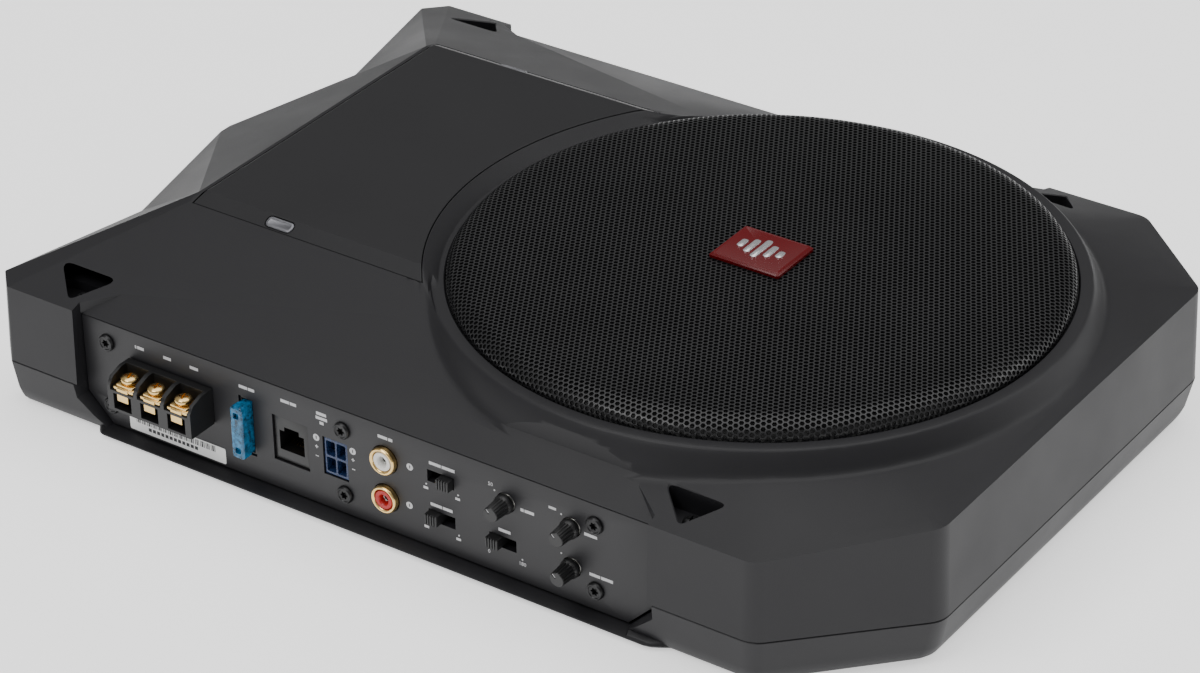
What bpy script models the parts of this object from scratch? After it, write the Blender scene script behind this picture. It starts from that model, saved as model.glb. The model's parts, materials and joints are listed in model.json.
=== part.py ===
"""Powered under-seat car subwoofer: a shallow 8 inch driver and its amplifier in a low moulded case.

Metres, +Z up. The origin is under the middle of the whole, terminals included, on the surface it stands on.
+X runs along the connector panel, from its power terminals to its controls; -Y is the panel side.
Points below are written from the middle of the case, which SHIFT moves to its place behind the origin.
"""

import math

import bmesh
import bpy
from mathutils import Matrix, Vector
from mathutils.geometry import delaunay_2d_cdt

# The case's middle, seen from the origin
SHIFT = Vector((0.0, 0.0035, 0.0))

# Case, outside, at the top edge of its side walls
HALF_X = 0.1715
HALF_Y = 0.1240
DRAFT = 0.0010
WALL = 0.0025
GAP = 0.0003
CORNER_CUT = 0.0410
SMALL_CUT = 0.0075
WAIST_INSET = 0.0120
WAIST_Y = 0.0600
APEX_HALF = 0.0025

# Heights
Z_BASE = 0.0010
Z_BASE_EDGE = 0.0050
Z_PARTING = 0.0181
Z_EDGE = 0.0467
Z_SIDE = 0.0515
Z_APEX = 0.0480
Z_RIM = 0.0652
Z_GROOVE = 0.0639
Z_PLATE = 0.0667
Z_POCKET = 0.0617
Z_LIP = 0.0621
Z_FOOT = 0.0535
Z_LEDGE = 0.0490
LEDGE = 0.0030

# Cover plate over the amplifier
PLATE_LEFT = -0.1277
PLATE_HALF_Y = 0.0639
GROOVE_Y = 0.0694
PLATE_ARC_R = 0.1104
FLANGE_SLOPE = (Z_GROOVE - Z_EDGE) / (HALF_Y - GROOVE_Y)

# Driver and its round opening
RING_X = 0.0541
RING_FOOT_R = 0.1120
RING_LIP_R = 0.1068
WELL_R = 0.1030
WELL_WALL_R = 0.1058
THROAT_R = 0.0930
RING_STEPS = 72
PLATE_ARC_STEPS = 20

# Connector panel
PANEL_LEFT = -0.1351
PANEL_RIGHT = 0.0926
PANEL_TOP = 0.0436
PANEL_BOTTOM = 0.0042
PANEL_FACE_Y = -0.1200
PANEL_THICK = 0.0025
PANEL_CUT = 0.0100
FACET_Y = -0.1120
FACET_INSET = 0.0115

# Panel fittings, as x along the panel and height
SCREW_X = (-0.1246, -0.0268, 0.0707)
SCREW_Z = (0.0118, 0.0361)
TERMINAL_X = (-0.1091, -0.0977, -0.0863)
FUSE_AT = (-0.0662, 0.0239)
REMOTE_AT = (-0.0484, 0.0237)
HIGH_LEVEL_AT = (-0.0302, 0.0239)
RCA_X = -0.0102
RCA_Z = {"left": 0.0309, "right": 0.0165}
KNOB_AT = {"crossover": (0.0369, 0.0318), "level": (0.0616, 0.0318), "bass_boost": (0.0616, 0.0170)}
SWITCH_AT = {"audio_sense": (0.0118, 0.0313), "input_load": (0.0118, 0.0165), "phase": (0.0354, 0.0165)}
SWITCH_TRAVEL = 0.0050
SLOT = (0.0104, 0.0044)
KNOB_R = 0.0034
KNOB_LENGTH = 0.0083
POINTER_TURN = -45.0
SLIDER = (0.0048, 0.0038)
SLIDER_STANDS_OUT = 0.0030
TERMINAL_BLOCK = (-0.1153, -0.0801, 0.0200, 0.0335)
TERMINAL_DEPTH = 0.0117
TERMINAL_FIN = 0.0016
TERMINAL_SCREW_Y = -0.1275
BAY_FLOOR = 0.0078
NECK = 0.0015
REMOTE_SIZE = (0.0146, 0.0172)
HIGH_LEVEL_SIZE = (0.0100, 0.0142)
SOCKET_DEPTH = 0.0120
FUSE_SLOT = (0.0062, 0.0218)
FUSE_STANDS_OUT = 0.0056
RCA_HOLE_R = 0.0052
POT_BUSH_R = 0.0036

# Triangular screw pockets: two corners on the long side and the apex, for the front left one
POCKET_X = (-0.1506, -0.1304, -0.1390)
POCKET_Y = (-0.1085, -0.1190)
POCKET_SHIFT = 0.2413
Z_POCKET_FLOOR = 0.0435
POCKET_SCREW_R = 0.0022
POCKET_WALL = 0.0024
FOUR_CORNERS = ((-1, 1), (-1, -1), (1, 1), (1, -1))

# Walls inside the top housing, the recess in its back and the base
Z_CEILING = 0.0590
Z_FACET_WALL = 0.0390
RETURN_Y = -0.1130
BACK_STEP = 0.0003
CUT_TOP = 0.0800
BASE_DRAW = 0.0028
BASE_INSET = 0.0062
SILL_EDGE = 0.0018

# Rubber feet, set into round seats in the base
FOOT_R = 0.0090
FOOT_SEAT = 0.0020
FOOT_X = (-0.1350, 0.1270)
FOOT_Y = 0.0900

# Pills in the cover plate
INSERT_X = -0.0925
INSERT_SIZE = (0.0110, 0.0042)

# Grille and badge
GRILLE_R = 0.1026
GRILLE_THICK = 0.0010
Z_GRILLE = 0.0682
Z_GRILLE_FOOT = 0.0575
BADGE_SIZE = (0.0265, 0.0220, 0.0018)

# Driver: the basket's flange, what rests on it, the half roll, the neck and the cap
Z_FLANGE = Z_LEDGE + LEDGE + GAP
BASKET_SKIN = 0.0014
BASKET_SPOKES = 6
Z_REST = Z_FLANGE + BASKET_SKIN + GAP
ROLL_MIDDLE = 0.0800
ROLL_R = 0.0078
NECK_R = 0.0194
Z_NECK = 0.0360
CAP_R = 0.0300
Z_CAP = 0.0418
Z_SPIDER = 0.0350

# Amplifier
Z_BOARD = 0.0136
CONTROL_BOARD_Y = -0.1072
FIN_GAPS = 11


def clear_scene():
    for item in list(bpy.data.objects):
        bpy.data.objects.remove(item, do_unlink=True)


def material(name, colour, roughness, metallic=0.0):
    found = bpy.data.materials.get(name)
    if found:
        return found
    made = bpy.data.materials.new(name)
    made.use_nodes = True
    shader = made.node_tree.nodes["Principled BSDF"]
    shader.inputs["Base Color"].default_value = (*colour, 1.0)
    shader.inputs["Roughness"].default_value = roughness
    shader.inputs["Metallic"].default_value = metallic
    return made


def finish_object(name, mesh, paint, origin=(0, 0, 0), crease=35):
    """Turns a mesh whose points are in the case's frame into an object with its origin on the given point."""
    mesh.transform(Matrix.Translation(-Vector(origin)))
    mesh.shade_smooth()
    mesh.set_sharp_from_angle(angle=math.radians(crease))
    made = bpy.data.objects.new(name, mesh)
    made.location = Vector(origin) + SHIFT
    bpy.context.scene.collection.objects.link(made)
    if paint:
        mesh.materials.append(paint)
    else:
        made.hide_render = True
        made.display_type = "WIRE"
    return made


def mesh_from(name, points, faces):
    mesh = bpy.data.meshes.new(name)
    mesh.from_pydata([tuple(p) for p in points], [], faces)
    form = bmesh.new()
    form.from_mesh(mesh)
    bmesh.ops.recalc_face_normals(form, faces=form.faces)
    form.to_mesh(mesh)
    form.free()
    return mesh


def merged(name, meshes):
    """One mesh of several separate closed shapes, for a cutter."""
    form = bmesh.new()
    for each in meshes:
        form.from_mesh(each)
    mesh = bpy.data.meshes.new(name)
    form.to_mesh(mesh)
    form.free()
    return mesh


def box_mesh(low, high):
    points = [(x, y, z) for x in (low[0], high[0]) for y in (low[1], high[1]) for z in (low[2], high[2])]
    faces = [(0, 1, 3, 2), (4, 6, 7, 5), (0, 4, 5, 1), (2, 3, 7, 6), (0, 2, 6, 4), (1, 5, 7, 3)]
    return mesh_from("box", points, faces)


def prism_mesh(outline, start, end, axis="Z"):
    """An outline extruded along an axis. It is (x, y) for Z, (x, z) for Y and (y, z) for X."""
    place = {
        "Z": lambda a, b, c: (a, b, c),
        "Y": lambda a, b, c: (a, c, b),
        "X": lambda a, b, c: (c, a, b),
    }[axis]
    count = len(outline)
    points = [place(a, b, level) for level in (start, end) for a, b in outline]
    faces = [tuple(range(count)), tuple(range(count, 2 * count))]
    faces += [(i, (i + 1) % count, count + (i + 1) % count, count + i) for i in range(count)]
    return mesh_from("prism", points, faces)


def lathe_mesh(profile, centre, axis="Z", steps=48):
    """A closed (radius, along) profile turned about an axis through centre. Radius 0 is a point on it."""
    place = {
        "Z": lambda r, a, h: (centre[0] + r * math.cos(a), centre[1] + r * math.sin(a), centre[2] + h),
        "Y": lambda r, a, h: (centre[0] + r * math.cos(a), centre[1] + h, centre[2] + r * math.sin(a)),
    }[axis]
    points, rings = [], []
    for radius, along in profile:
        turns = 1 if radius < 1e-7 else steps
        rings.append([len(points) + i for i in range(turns)])
        points += [place(radius, 2 * math.pi * i / steps, along) for i in range(turns)]
    faces = []
    for k, ring in enumerate(rings):
        after = rings[(k + 1) % len(rings)]
        if len(ring) == 1 and len(after) == 1:
            continue
        for i in range(steps):
            j = (i + 1) % steps
            corners = [ring[i % len(ring)], ring[j % len(ring)], after[j % len(after)], after[i % len(after)]]
            faces.append(tuple(dict.fromkeys(corners)))
    return mesh_from("lathe", points, faces)


def circle(radius, centre=(0.0, 0.0), steps=24, turn=0.0):
    return [
        (
            centre[0] + radius * math.cos(turn + 2 * math.pi * i / steps),
            centre[1] + radius * math.sin(turn + 2 * math.pi * i / steps),
        )
        for i in range(steps)
    ]


def rounded_rectangle(width, height, radius, centre, steps=4):
    points = []
    for sx, sy, begin in ((1, 1, 0), (-1, 1, 90), (-1, -1, 180), (1, -1, 270)):
        for i in range(steps + 1):
            angle = math.radians(begin + 90 * i / steps)
            x = centre[0] + sx * (width / 2 - radius) + radius * math.cos(angle)
            y = centre[1] + sy * (height / 2 - radius) + radius * math.sin(angle)
            points.append((x, y))
    return points


def rectangle(low_x, high_x, low_y, high_y):
    return [(low_x, low_y), (high_x, low_y), (high_x, high_y), (low_x, high_y)]


def combine(target, operation, name, mesh):
    """Adds a Boolean of this mesh to the object, through a hidden helper."""
    helper = finish_object(name, mesh, None)
    modifier = target.modifiers.new(name, "BOOLEAN")
    modifier.operation = operation
    modifier.solver = "EXACT"
    modifier.object = helper
    return modifier


def inset(outline, distance):
    """The outline moved inwards, its corners kept sharp. The outline runs anticlockwise."""
    count = len(outline)
    moved = []
    for i in range(count):
        before = Vector(outline[i - 1])
        here = Vector(outline[i])
        after = Vector(outline[(i + 1) % count])
        first = (here - before).normalized()
        second = (after - here).normalized()
        first_side = Vector((-first.y, first.x))
        second_side = Vector((-second.y, second.x))
        both = (first_side + second_side).normalized()
        moved.append(tuple(here + both * distance / max(both.dot(first_side), 0.3)))
    return moved


# Case outline


def case_corners():
    """The top edge of the case wall, anticlockwise from the front left, as (x, y, z)."""
    x, y = HALF_X, HALF_Y
    front = [
        (-x, -y + SMALL_CUT, Z_EDGE),
        (-x + SMALL_CUT, -y, Z_EDGE),
        (x - CORNER_CUT, -y, Z_EDGE),
        (x, -y + CORNER_CUT, Z_SIDE),
    ]
    back = [(a, -b, c) for a, b, c in reversed(front)]
    left = [
        (-x + WAIST_INSET, WAIST_Y, Z_EDGE),
        (-x, APEX_HALF, Z_APEX),
        (-x, -APEX_HALF, Z_APEX),
        (-x + WAIST_INSET, -WAIST_Y, Z_EDGE),
    ]
    return front + back + left


def ring_foot_height(x, y):
    """The height of the case surface where the ring round the driver rises from it."""
    slope = Z_EDGE + (HALF_Y - abs(y)) * FLANGE_SLOPE
    if x < RING_X:
        return min(slope, Z_GROOVE)
    return min(slope, Z_FOOT)


def case_solid(name, offset, drop, plateau, low):
    """The case as a solid under its top surface: faceted slopes, a plateau under the cover, and the ring."""
    corners = case_corners()
    edge = inset([c[:2] for c in corners], offset)
    points = [(*p, c[2] - drop) for p, c in zip(edge, corners)]
    rim = list(range(len(points)))
    lines = [(i, (i + 1) % len(rim)) for i in rim]

    def add(x, y, z):
        points.append((x, y, z))
        return len(points) - 1

    left = PLATE_LEFT - 0.0016 + offset * 1.6
    for side, near, chamfer, waist, apex in ((-1, 0, 1, 11, 10), (1, 7, 6, 8, 9)):
        peak = add(left, side * (PLATE_HALF_Y - offset), min(Z_RIM, plateau + 0.0035))
        groove_start = add(left, side * (GROOVE_Y - offset), min(Z_GROOVE, plateau + 0.0022))
        reach = math.sqrt(RING_FOOT_R**2 - (GROOVE_Y - offset) ** 2)
        angle = math.atan2(side * (GROOVE_Y - offset), -reach)
        groove_end = add(RING_X - reach, side * (GROOVE_Y - offset), min(Z_GROOVE, plateau + 0.0022))
        lines += [(peak, near), (groove_start, near), (groove_start, chamfer), (peak, waist), (peak, apex)]
        lines += [(peak, groove_start), (groove_start, groove_end)]
        if side < 0:
            low_peak, low_end, end_angle = peak, groove_end, angle
        else:
            lines.append((low_peak, peak))
            high_end = groove_end
    steps = RING_STEPS * 3 // 4
    arc = [low_end]
    sweep = -2 * end_angle
    for i in range(1, steps):
        angle = end_angle + sweep * i / steps
        x = RING_X + RING_FOOT_R * math.cos(angle)
        y = RING_FOOT_R * math.sin(angle)
        arc.append(add(x, y, ring_foot_height(x, y) - drop))
    arc.append(high_end)
    lines += list(zip(arc, arc[1:]))
    lip = [add(x, y, min(Z_LIP, plateau)) for x, y in circle(RING_LIP_R, (RING_X, 0.0), RING_STEPS)]
    lines += list(zip(lip, lip[1:] + lip[:1]))

    flat = [Vector(p[:2]) for p in points]
    made, _, faces, *_ = delaunay_2d_cdt(flat, lines, [rim], 1, 1e-7)
    heights = {(round(p[0], 6), round(p[1], 6)): p[2] for p in points}
    top = [(p.x, p.y, heights[(round(p.x, 6), round(p.y, 6))]) for p in made]
    skirt = inset([c[:2] for c in corners], offset - DRAFT)
    base = len(top)
    border = [min(range(base), key=lambda k: (made[k] - Vector(e)).length) for e in edge]
    top += [(*p, low) for p in skirt]
    count = len(skirt)
    faces = [tuple(f) for f in faces]
    faces += [(border[i], border[(i + 1) % count], base + (i + 1) % count, base + i) for i in range(count)]
    faces.append(tuple(base + i for i in range(count)))
    return mesh_from(name, top, faces)


def pocket_outline(side_x, side_y, grow=0.0):
    shift = POCKET_SHIFT if side_x > 0 else 0.0
    corners = [(POCKET_X[0], POCKET_Y[0]), (POCKET_X[2], POCKET_Y[1]), (POCKET_X[1], POCKET_Y[0])]
    moved = inset([(x + shift, y) for x, y in corners], -grow)
    return [(x, -side_y * y) for x, y in moved]


def recess_mesh(grow, low, depth, side=-1):
    """The space at the connector panel: its opening, the step above it and the facet with slanted ends."""
    left, right = PANEL_LEFT - GAP - grow, PANEL_RIGHT + GAP + grow
    step_y, top = PANEL_FACE_Y + grow, PANEL_TOP + GAP - grow * 0.6
    rise = (Z_EDGE + (FACET_Y + HALF_Y) * FLANGE_SLOPE - PANEL_TOP - GAP) / (FACET_Y - PANEL_FACE_Y)
    reach = (FACET_Y - PANEL_FACE_Y) * 1.3
    slant = FACET_INSET * 1.3
    front = -HALF_Y - 0.006
    profile = [(front, low), (depth, low), (depth, top), (step_y, top), (step_y, CUT_TOP), (front, CUT_TOP)]
    ridge = [(step_y + reach, top + rise * reach), (step_y + reach, CUT_TOP)]
    points = [(left, y, z) for y, z in profile] + [(right, y, z) for y, z in profile]
    points += [(left + slant, y, z) for y, z in ridge] + [(right - slant, y, z) for y, z in ridge]
    points = [(x, -side * y, z) for x, y, z in points]
    faces = [(0, 1, 2, 3, 4, 5), (6, 7, 8, 9, 10, 11)]
    faces += [(i, i + 1, i + 7, i + 6) for i in (0, 1, 2, 4)] + [(5, 0, 6, 11)]
    faces += [(3, 12, 13, 4), (9, 14, 15, 10), (3, 9, 14, 12), (12, 14, 15, 13), (4, 13, 15, 10)]
    return mesh_from("recess", points, faces)


def cover_outline(grow):
    """The cover plate's outline at its foot: a rectangle whose right end is an arc round the driver."""
    half = GROOVE_Y - GAP + grow
    radius = PLATE_ARC_R - grow
    end = math.asin(half / radius)
    arc = []
    for i in range(PLATE_ARC_STEPS + 1):
        angle = end * (1 - 2 * i / PLATE_ARC_STEPS)
        y = math.copysign(half, 1 - i) if i in (0, PLATE_ARC_STEPS) else radius * math.sin(angle)
        arc.append((RING_X - radius * math.cos(angle), y))
    return [(PLATE_LEFT - grow, half), (PLATE_LEFT - grow, -half), *reversed(arc)]


# Case shells


def subtract_object(target, name, helper):
    modifier = target.modifiers.new(name, "BOOLEAN")
    modifier.operation = "DIFFERENCE"
    modifier.solver = "EXACT"
    modifier.object = helper


def case_cavity():
    """The hollow of the top housing: the case's shape moved inwards, less the walls that stand in it."""
    low = Z_PARTING - 0.0040
    cavity = finish_object("case_cavity", case_solid("cavity", WALL, WALL + 0.0004, Z_CEILING, low), None)
    well = prism_mesh(circle(WELL_WALL_R, (RING_X, 0), 64, 0.02), Z_LEDGE, CUT_TOP)
    combine(cavity, "DIFFERENCE", "keep_well", well)
    for side_x, side_y in FOUR_CORNERS:
        boss = prism_mesh(pocket_outline(side_x, side_y, POCKET_WALL), Z_POCKET_FLOOR - POCKET_WALL, CUT_TOP)
        combine(cavity, "DIFFERENCE", "keep_pocket", boss)
    facet = recess_mesh(POCKET_WALL, Z_FACET_WALL, PANEL_FACE_Y + WALL)
    combine(cavity, "DIFFERENCE", "keep_facet", facet)
    back = recess_mesh(POCKET_WALL, 0.0, PANEL_FACE_Y + POCKET_WALL - BACK_STEP, side=1)
    combine(cavity, "DIFFERENCE", "keep_back", back)
    outer, inner = 0.0042, 0.0050
    returns = merged("returns", [
        box_mesh((PANEL_LEFT - outer, -0.14, 0), (PANEL_LEFT + inner, RETURN_Y, Z_CEILING)),
        box_mesh((PANEL_RIGHT - inner, -0.14, 0), (PANEL_RIGHT + outer, RETURN_Y, Z_CEILING)),
    ])
    combine(cavity, "DIFFERENCE", "keep_returns", returns)
    return cavity


def top_housing(plastic):
    solid = case_solid("case", 0.0, 0.0, 0.0750, Z_PARTING + GAP)
    case = finish_object("top_housing", solid, plastic, crease=8)
    subtract_object(case, "cavity", case_cavity())
    shelf = Z_LEDGE + LEDGE
    bore = [(0, 0), (THROAT_R, 0), (THROAT_R, shelf), (WELL_R, shelf), (WELL_R, CUT_TOP), (0, CUT_TOP)]
    combine(case, "DIFFERENCE", "driver_opening", lathe_mesh(bore, (RING_X, 0, 0), steps=RING_STEPS))
    combine(case, "DIFFERENCE", "cover_seat", prism_mesh(cover_outline(GAP), Z_POCKET, CUT_TOP))
    combine(case, "DIFFERENCE", "panel_recess", recess_mesh(0.0, 0.0, PANEL_FACE_Y + 0.0095))
    combine(case, "DIFFERENCE", "back_recess", recess_mesh(0.0, 0.0, PANEL_FACE_Y - BACK_STEP, side=1))
    for side_x, side_y in FOUR_CORNERS:
        outline = pocket_outline(side_x, side_y)
        combine(case, "DIFFERENCE", "screw_pocket", prism_mesh(outline, Z_POCKET_FLOOR, CUT_TOP))
        middle = (sum(p[0] for p in outline) / 3, sum(p[1] for p in outline) / 3)
        hole = prism_mesh(circle(POCKET_SCREW_R, middle, 16), Z_POCKET_FLOOR - 0.01, Z_POCKET_FLOOR + 0.001)
        combine(case, "DIFFERENCE", "pocket_hole", hole)
    return case


def shell_body(outline):
    """The base as a solid: straight at the parting line, drawn in towards the surface it stands on."""
    levels = [(0.0, Z_PARTING), (BASE_DRAW, Z_BASE_EDGE), (BASE_INSET, Z_BASE)]
    rings = [[(*p, z) for p in inset(outline, d)] for d, z in levels]
    count = len(outline)
    points = [p for ring in rings for p in ring]
    faces = [tuple(range(count)), tuple(range(2 * count, 3 * count))]
    for k in range(2):
        for i in range(count):
            j = (i + 1) % count
            faces.append((k * count + i, k * count + j, (k + 1) * count + j, (k + 1) * count + i))
    return mesh_from("shell", points, faces)


def panel_sill():
    """The bar under the connector panel, its upper front edge taken off."""
    left, right = PANEL_LEFT + PANEL_CUT - 0.0040, PANEL_RIGHT - PANEL_CUT + 0.0040
    front, high = -HALF_Y - DRAFT, PANEL_BOTTOM - GAP
    back = front + 0.0120
    side = [(front, Z_BASE), (back, Z_BASE), (back, high)]
    side += [(front + SILL_EDGE, high), (front, high - SILL_EDGE)]
    return prism_mesh(side, left, right, "X")


def bottom_shell(plastic):
    outline = inset([c[:2] for c in case_corners()], -DRAFT)
    shell = finish_object("bottom_shell", shell_body(outline), plastic)
    combine(shell, "UNION", "panel_sill", panel_sill())
    inside = prism_mesh(inset(outline, WALL + BASE_DRAW), Z_BASE + WALL, 0.03)
    hollow = finish_object("shell_hollow", inside, None)
    left, right = PANEL_LEFT - 0.0042, PANEL_RIGHT + 0.0042
    blocks = merged("blocks", [
        box_mesh((left, -0.14, -0.01), (right, -0.1148, 0.05)),
        box_mesh((left, 0.1170, -0.01), (right, 0.14, 0.05)),
    ])
    combine(hollow, "DIFFERENCE", "keep_ends", blocks)
    subtract_object(shell, "hollow", hollow)
    notch = panel_outline(GAP, 0.0300)
    combine(shell, "DIFFERENCE", "panel_notch", prism_mesh(notch, -0.14, RETURN_Y, "Y"))
    combine(shell, "DIFFERENCE", "back_notch", prism_mesh(notch, -PANEL_FACE_Y + BACK_STEP, 0.14, "Y"))
    pads = [prism_mesh(circle(FOOT_R + GAP, at, 24), -0.01, FOOT_SEAT) for at in foot_places()]
    combine(shell, "DIFFERENCE", "foot_seats", merged("seats", pads))
    return shell


def foot_places():
    return [(x, y) for x in FOOT_X for y in (-FOOT_Y, FOOT_Y)]


def feet(rubber):
    for number, (x, y) in enumerate(foot_places(), 1):
        high = FOOT_SEAT - GAP
        profile = [(0, 0), (FOOT_R - 0.0005, 0), (FOOT_R, 0.0005), (FOOT_R, high), (0, high)]
        finish_object(f"rubber_foot_{number}", lathe_mesh(profile, (x, y, 0), steps=24), rubber, (x, y, 0))


# Cover plate and its two inserts


def cover_shoulder(point):
    """The top of the cover's upright edge over a point of its outline."""
    x, y = point
    z = Z_GROOVE if abs(y) > PLATE_HALF_Y else Z_PLATE
    if x < PLATE_LEFT + 0.001:
        z = min(z, Z_PLATE - 0.0012)
    return (x, y, z)


def cover_crest(point):
    """The edge of the cover's flat top next to a point of its outline."""
    x, y = point
    y_top = math.copysign(min(abs(y), PLATE_HALF_Y), y)
    if x < PLATE_LEFT + 0.001:
        return (x + 0.0018, y_top, Z_PLATE)
    if abs(y) > PLATE_HALF_Y:
        radius = math.hypot(x - RING_X, y)
        return (RING_X - math.sqrt(radius**2 - PLATE_HALF_Y**2), y_top, Z_PLATE)
    return (x, y, Z_PLATE)


def amp_cover(paint):
    """A flat plate with sloping front and back margins and a fine bevel on its left edge."""
    half = GROOVE_Y - GAP
    low = [p for p in cover_outline(0.0) if abs(p[1]) < PLATE_HALF_Y or abs(abs(p[1]) - half) < 1e-6]
    count = len(low)
    shoulder = [cover_shoulder(p) for p in low]
    points = [(*p, Z_POCKET + GAP) for p in low] + shoulder
    faces = [tuple(range(count))]
    faces += [(i, (i + 1) % count, count + (i + 1) % count, count + i) for i in range(count)]
    top_ids = []
    for i, point in enumerate(cover_crest(p) for p in low):
        if (Vector(point) - Vector(shoulder[i])).length < 1e-6:
            top_ids.append(count + i)
        else:
            points.append(point)
            top_ids.append(len(points) - 1)
    faces.append(tuple(top_ids))
    for i in range(count):
        j = (i + 1) % count
        corners = tuple(dict.fromkeys([count + i, count + j, top_ids[j], top_ids[i]]))
        if len(corners) > 2:
            faces.append(corners)
    cover = finish_object("amp_cover", mesh_from("cover", points, faces), paint)
    seats = [insert_mesh(side, GAP, 0.0010, 0.0020) for side in (-1, 1)]
    combine(cover, "DIFFERENCE", "insert_seats", merged("seats", seats))
    return cover


def insert_mesh(side, grow, depth, height):
    """A pill let into the cover's sloping margin."""
    tilt = math.atan2(Z_PLATE - Z_GROOVE, GROOVE_Y - PLATE_HALF_Y)
    length, width = INSERT_SIZE[0] + 2 * grow, INSERT_SIZE[1] + 2 * grow
    outline = rounded_rectangle(length, width, width / 2 - 1e-5, (0, 0), 3)
    mesh = prism_mesh(outline, -depth, height)
    middle = (INSERT_X, side * (PLATE_HALF_Y + GROOVE_Y) / 2, (Z_PLATE + Z_GROOVE) / 2)
    mesh.transform(Matrix.Translation(middle) @ Matrix.Rotation(-side * tilt, 4, "X"))
    return mesh


def cover_inserts(metal):
    for side, name in ((-1, "cover_insert_front"), (1, "cover_insert_back")):
        finish_object(name, insert_mesh(side, 0.0, 0.0007, 0.0003), metal)


# Grille and badge


def grille(steel):
    """A pressed perforated steel dish: a nearly flat top, a round shoulder and a straight skirt."""
    shoulder, drop, crown = 0.0090, 0.0052, 0.0006
    outer = [(GRILLE_R, Z_GRILLE_FOOT)]
    for i in range(5):
        angle = math.radians(90 * i / 4)
        radius = GRILLE_R - shoulder * (1 - math.cos(angle))
        outer.append((radius, Z_GRILLE - crown - drop * (1 - math.sin(angle))))
    outer.append((0.0, Z_GRILLE))
    inner = []
    for k, (r, z) in enumerate(outer):
        inner.append((max(0.0, r - GRILLE_THICK), z - (GRILLE_THICK if k else 0)))
    centre = (RING_X, 0, 0)
    finish_object("grille", lathe_mesh(outer + inner[::-1], centre, steps=RING_STEPS), steel, centre)


def badge(paint):
    width, depth, thick = BADGE_SIZE
    low = Z_GRILLE + 0.0001
    rings = [(0, low), (0, low + thick - 0.0007), (0.0012, low + thick)]
    points = []
    for shrink, z in rings:
        for sx, sy in ((-1, -1), (1, -1), (1, 1), (-1, 1)):
            points.append((RING_X + sx * (width / 2 - shrink), sy * (depth / 2 - shrink), z))
    faces = [(0, 1, 2, 3), (8, 9, 10, 11)]
    for k in (0, 4):
        faces += [(k + i, k + (i + 1) % 4, k + 4 + (i + 1) % 4, k + 4 + i) for i in range(4)]
    finish_object("badge", mesh_from("badge", points, faces), paint)


# Driver


def turned(name, profile, paint, steps=36):
    """A round piece of the driver, about the driver's axis."""
    centre = (RING_X, 0, 0)
    return finish_object(name, lathe_mesh(profile, centre, steps=steps), paint, centre)


def basket(steel):
    outer = [(0.1015, Z_FLANGE), (0.0915, Z_FLANGE), (0.0860, 0.0440), (0.0520, 0.0325)]
    outer += [(0.0460, 0.0268), (0.0220, 0.0268)]
    inner = [(0.0220, 0.0282), (0.0450, 0.0282), (0.0500, 0.0339), (0.0845, 0.0452)]
    inner += [(0.0880, Z_FLANGE + BASKET_SKIN), (0.1015, Z_FLANGE + BASKET_SKIN)]
    made = turned("driver_basket", outer + inner, steel, 48)
    windows = []
    for i in range(BASKET_SPOKES):
        start = math.radians(60 * i + 10)
        end = math.radians(60 * i + 50)
        middle = (start + end) / 2
        ring = [(0.0560, a) for a in (start, middle, end)] + [(0.0830, a) for a in (end, middle, start)]
        outline = [(RING_X + r * math.cos(a), r * math.sin(a)) for r, a in ring]
        windows.append(prism_mesh(outline, 0.0300, 0.0500))
    combine(made, "DIFFERENCE", "basket_windows", merged("windows", windows))


def half_roll(radius, low, sign):
    """The points of a half roll between its two feet, from the right if sign is 1."""
    angles = [math.radians(30 * i) for i in range(1, 6)]
    return [(ROLL_MIDDLE + sign * radius * math.cos(a), low + 0.92 * radius * math.sin(a)) for a in angles]


def surround_and_gasket(rubber):
    low = Z_REST
    turned("driver_gasket", rectangle(0.0932, 0.1012, low, low + 0.0016), rubber)
    high = low + 0.0008
    roll = [(0.0882, low), (0.0928, low), (0.0928, high)] + half_roll(ROLL_R, high, 1)
    roll += [(0.0680, high), (0.0680, low), (0.0722, low)] + half_roll(ROLL_R - 0.0009, low, -1)
    turned("surround", roll, rubber, 48)


def cone_and_cap(paper):
    high = Z_REST - GAP
    cone = [(0.0712, high - 0.0012), (0.0712, high), (0.0676, high), (0.0400, 0.0448)]
    cone += [(NECK_R, Z_NECK + 0.0010), (NECK_R, Z_NECK), (0.0400, 0.0438)]
    turned("cone", cone, paper)
    skin, rise = 0.0008, 0.0095
    dome = []
    for turn in (0, 30, 60):
        angle = math.radians(turn)
        dome.append((CAP_R * math.cos(angle), Z_CAP + rise * math.sin(angle)))
    cap = dome + [(0, Z_CAP + rise), (0, Z_CAP + rise - skin)]
    cap += [(r - skin, max(z - skin, Z_CAP)) for r, z in reversed(dome)]
    turned("dust_cap", cap, paper)


def coil_and_spider(copper, cloth):
    high = Z_NECK - GAP
    coil = [(0.0188, 0.0150), (0.0201, 0.0150), (0.0201, 0.0260)]
    coil += [(NECK_R, 0.0260), (NECK_R, high), (0.0188, high)]
    turned("voice_coil", coil, copper)
    first, last, folds = 0.0197, 0.0505, 5
    wave = []
    for i in range(2 * folds + 1):
        radius = first + (last - first) * i / (2 * folds)
        rise = 0 if i in (0, 2 * folds) else (0.0010 if i % 2 else -0.0008)
        wave.append((radius, Z_SPIDER + rise))
    turned("spider", wave + [(r, z + 0.0006) for r, z in reversed(wave)], cloth, 24)


def motor(ferrite, plated):
    turned("motor_top_plate", rectangle(0.0212, 0.0420, 0.0225, 0.0265), plated)
    turned("magnet", rectangle(0.0270, 0.0450, 0.0105, 0.0222), ferrite)
    back = [(0, 0.0055), (0.0400, 0.0055), (0.0420, 0.0070), (0.0420, 0.0102), (0.0176, 0.0102)]
    turned("motor_back_plate", back + [(0.0176, 0.0262), (0, 0.0262)], plated)


# Connector panel


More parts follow.
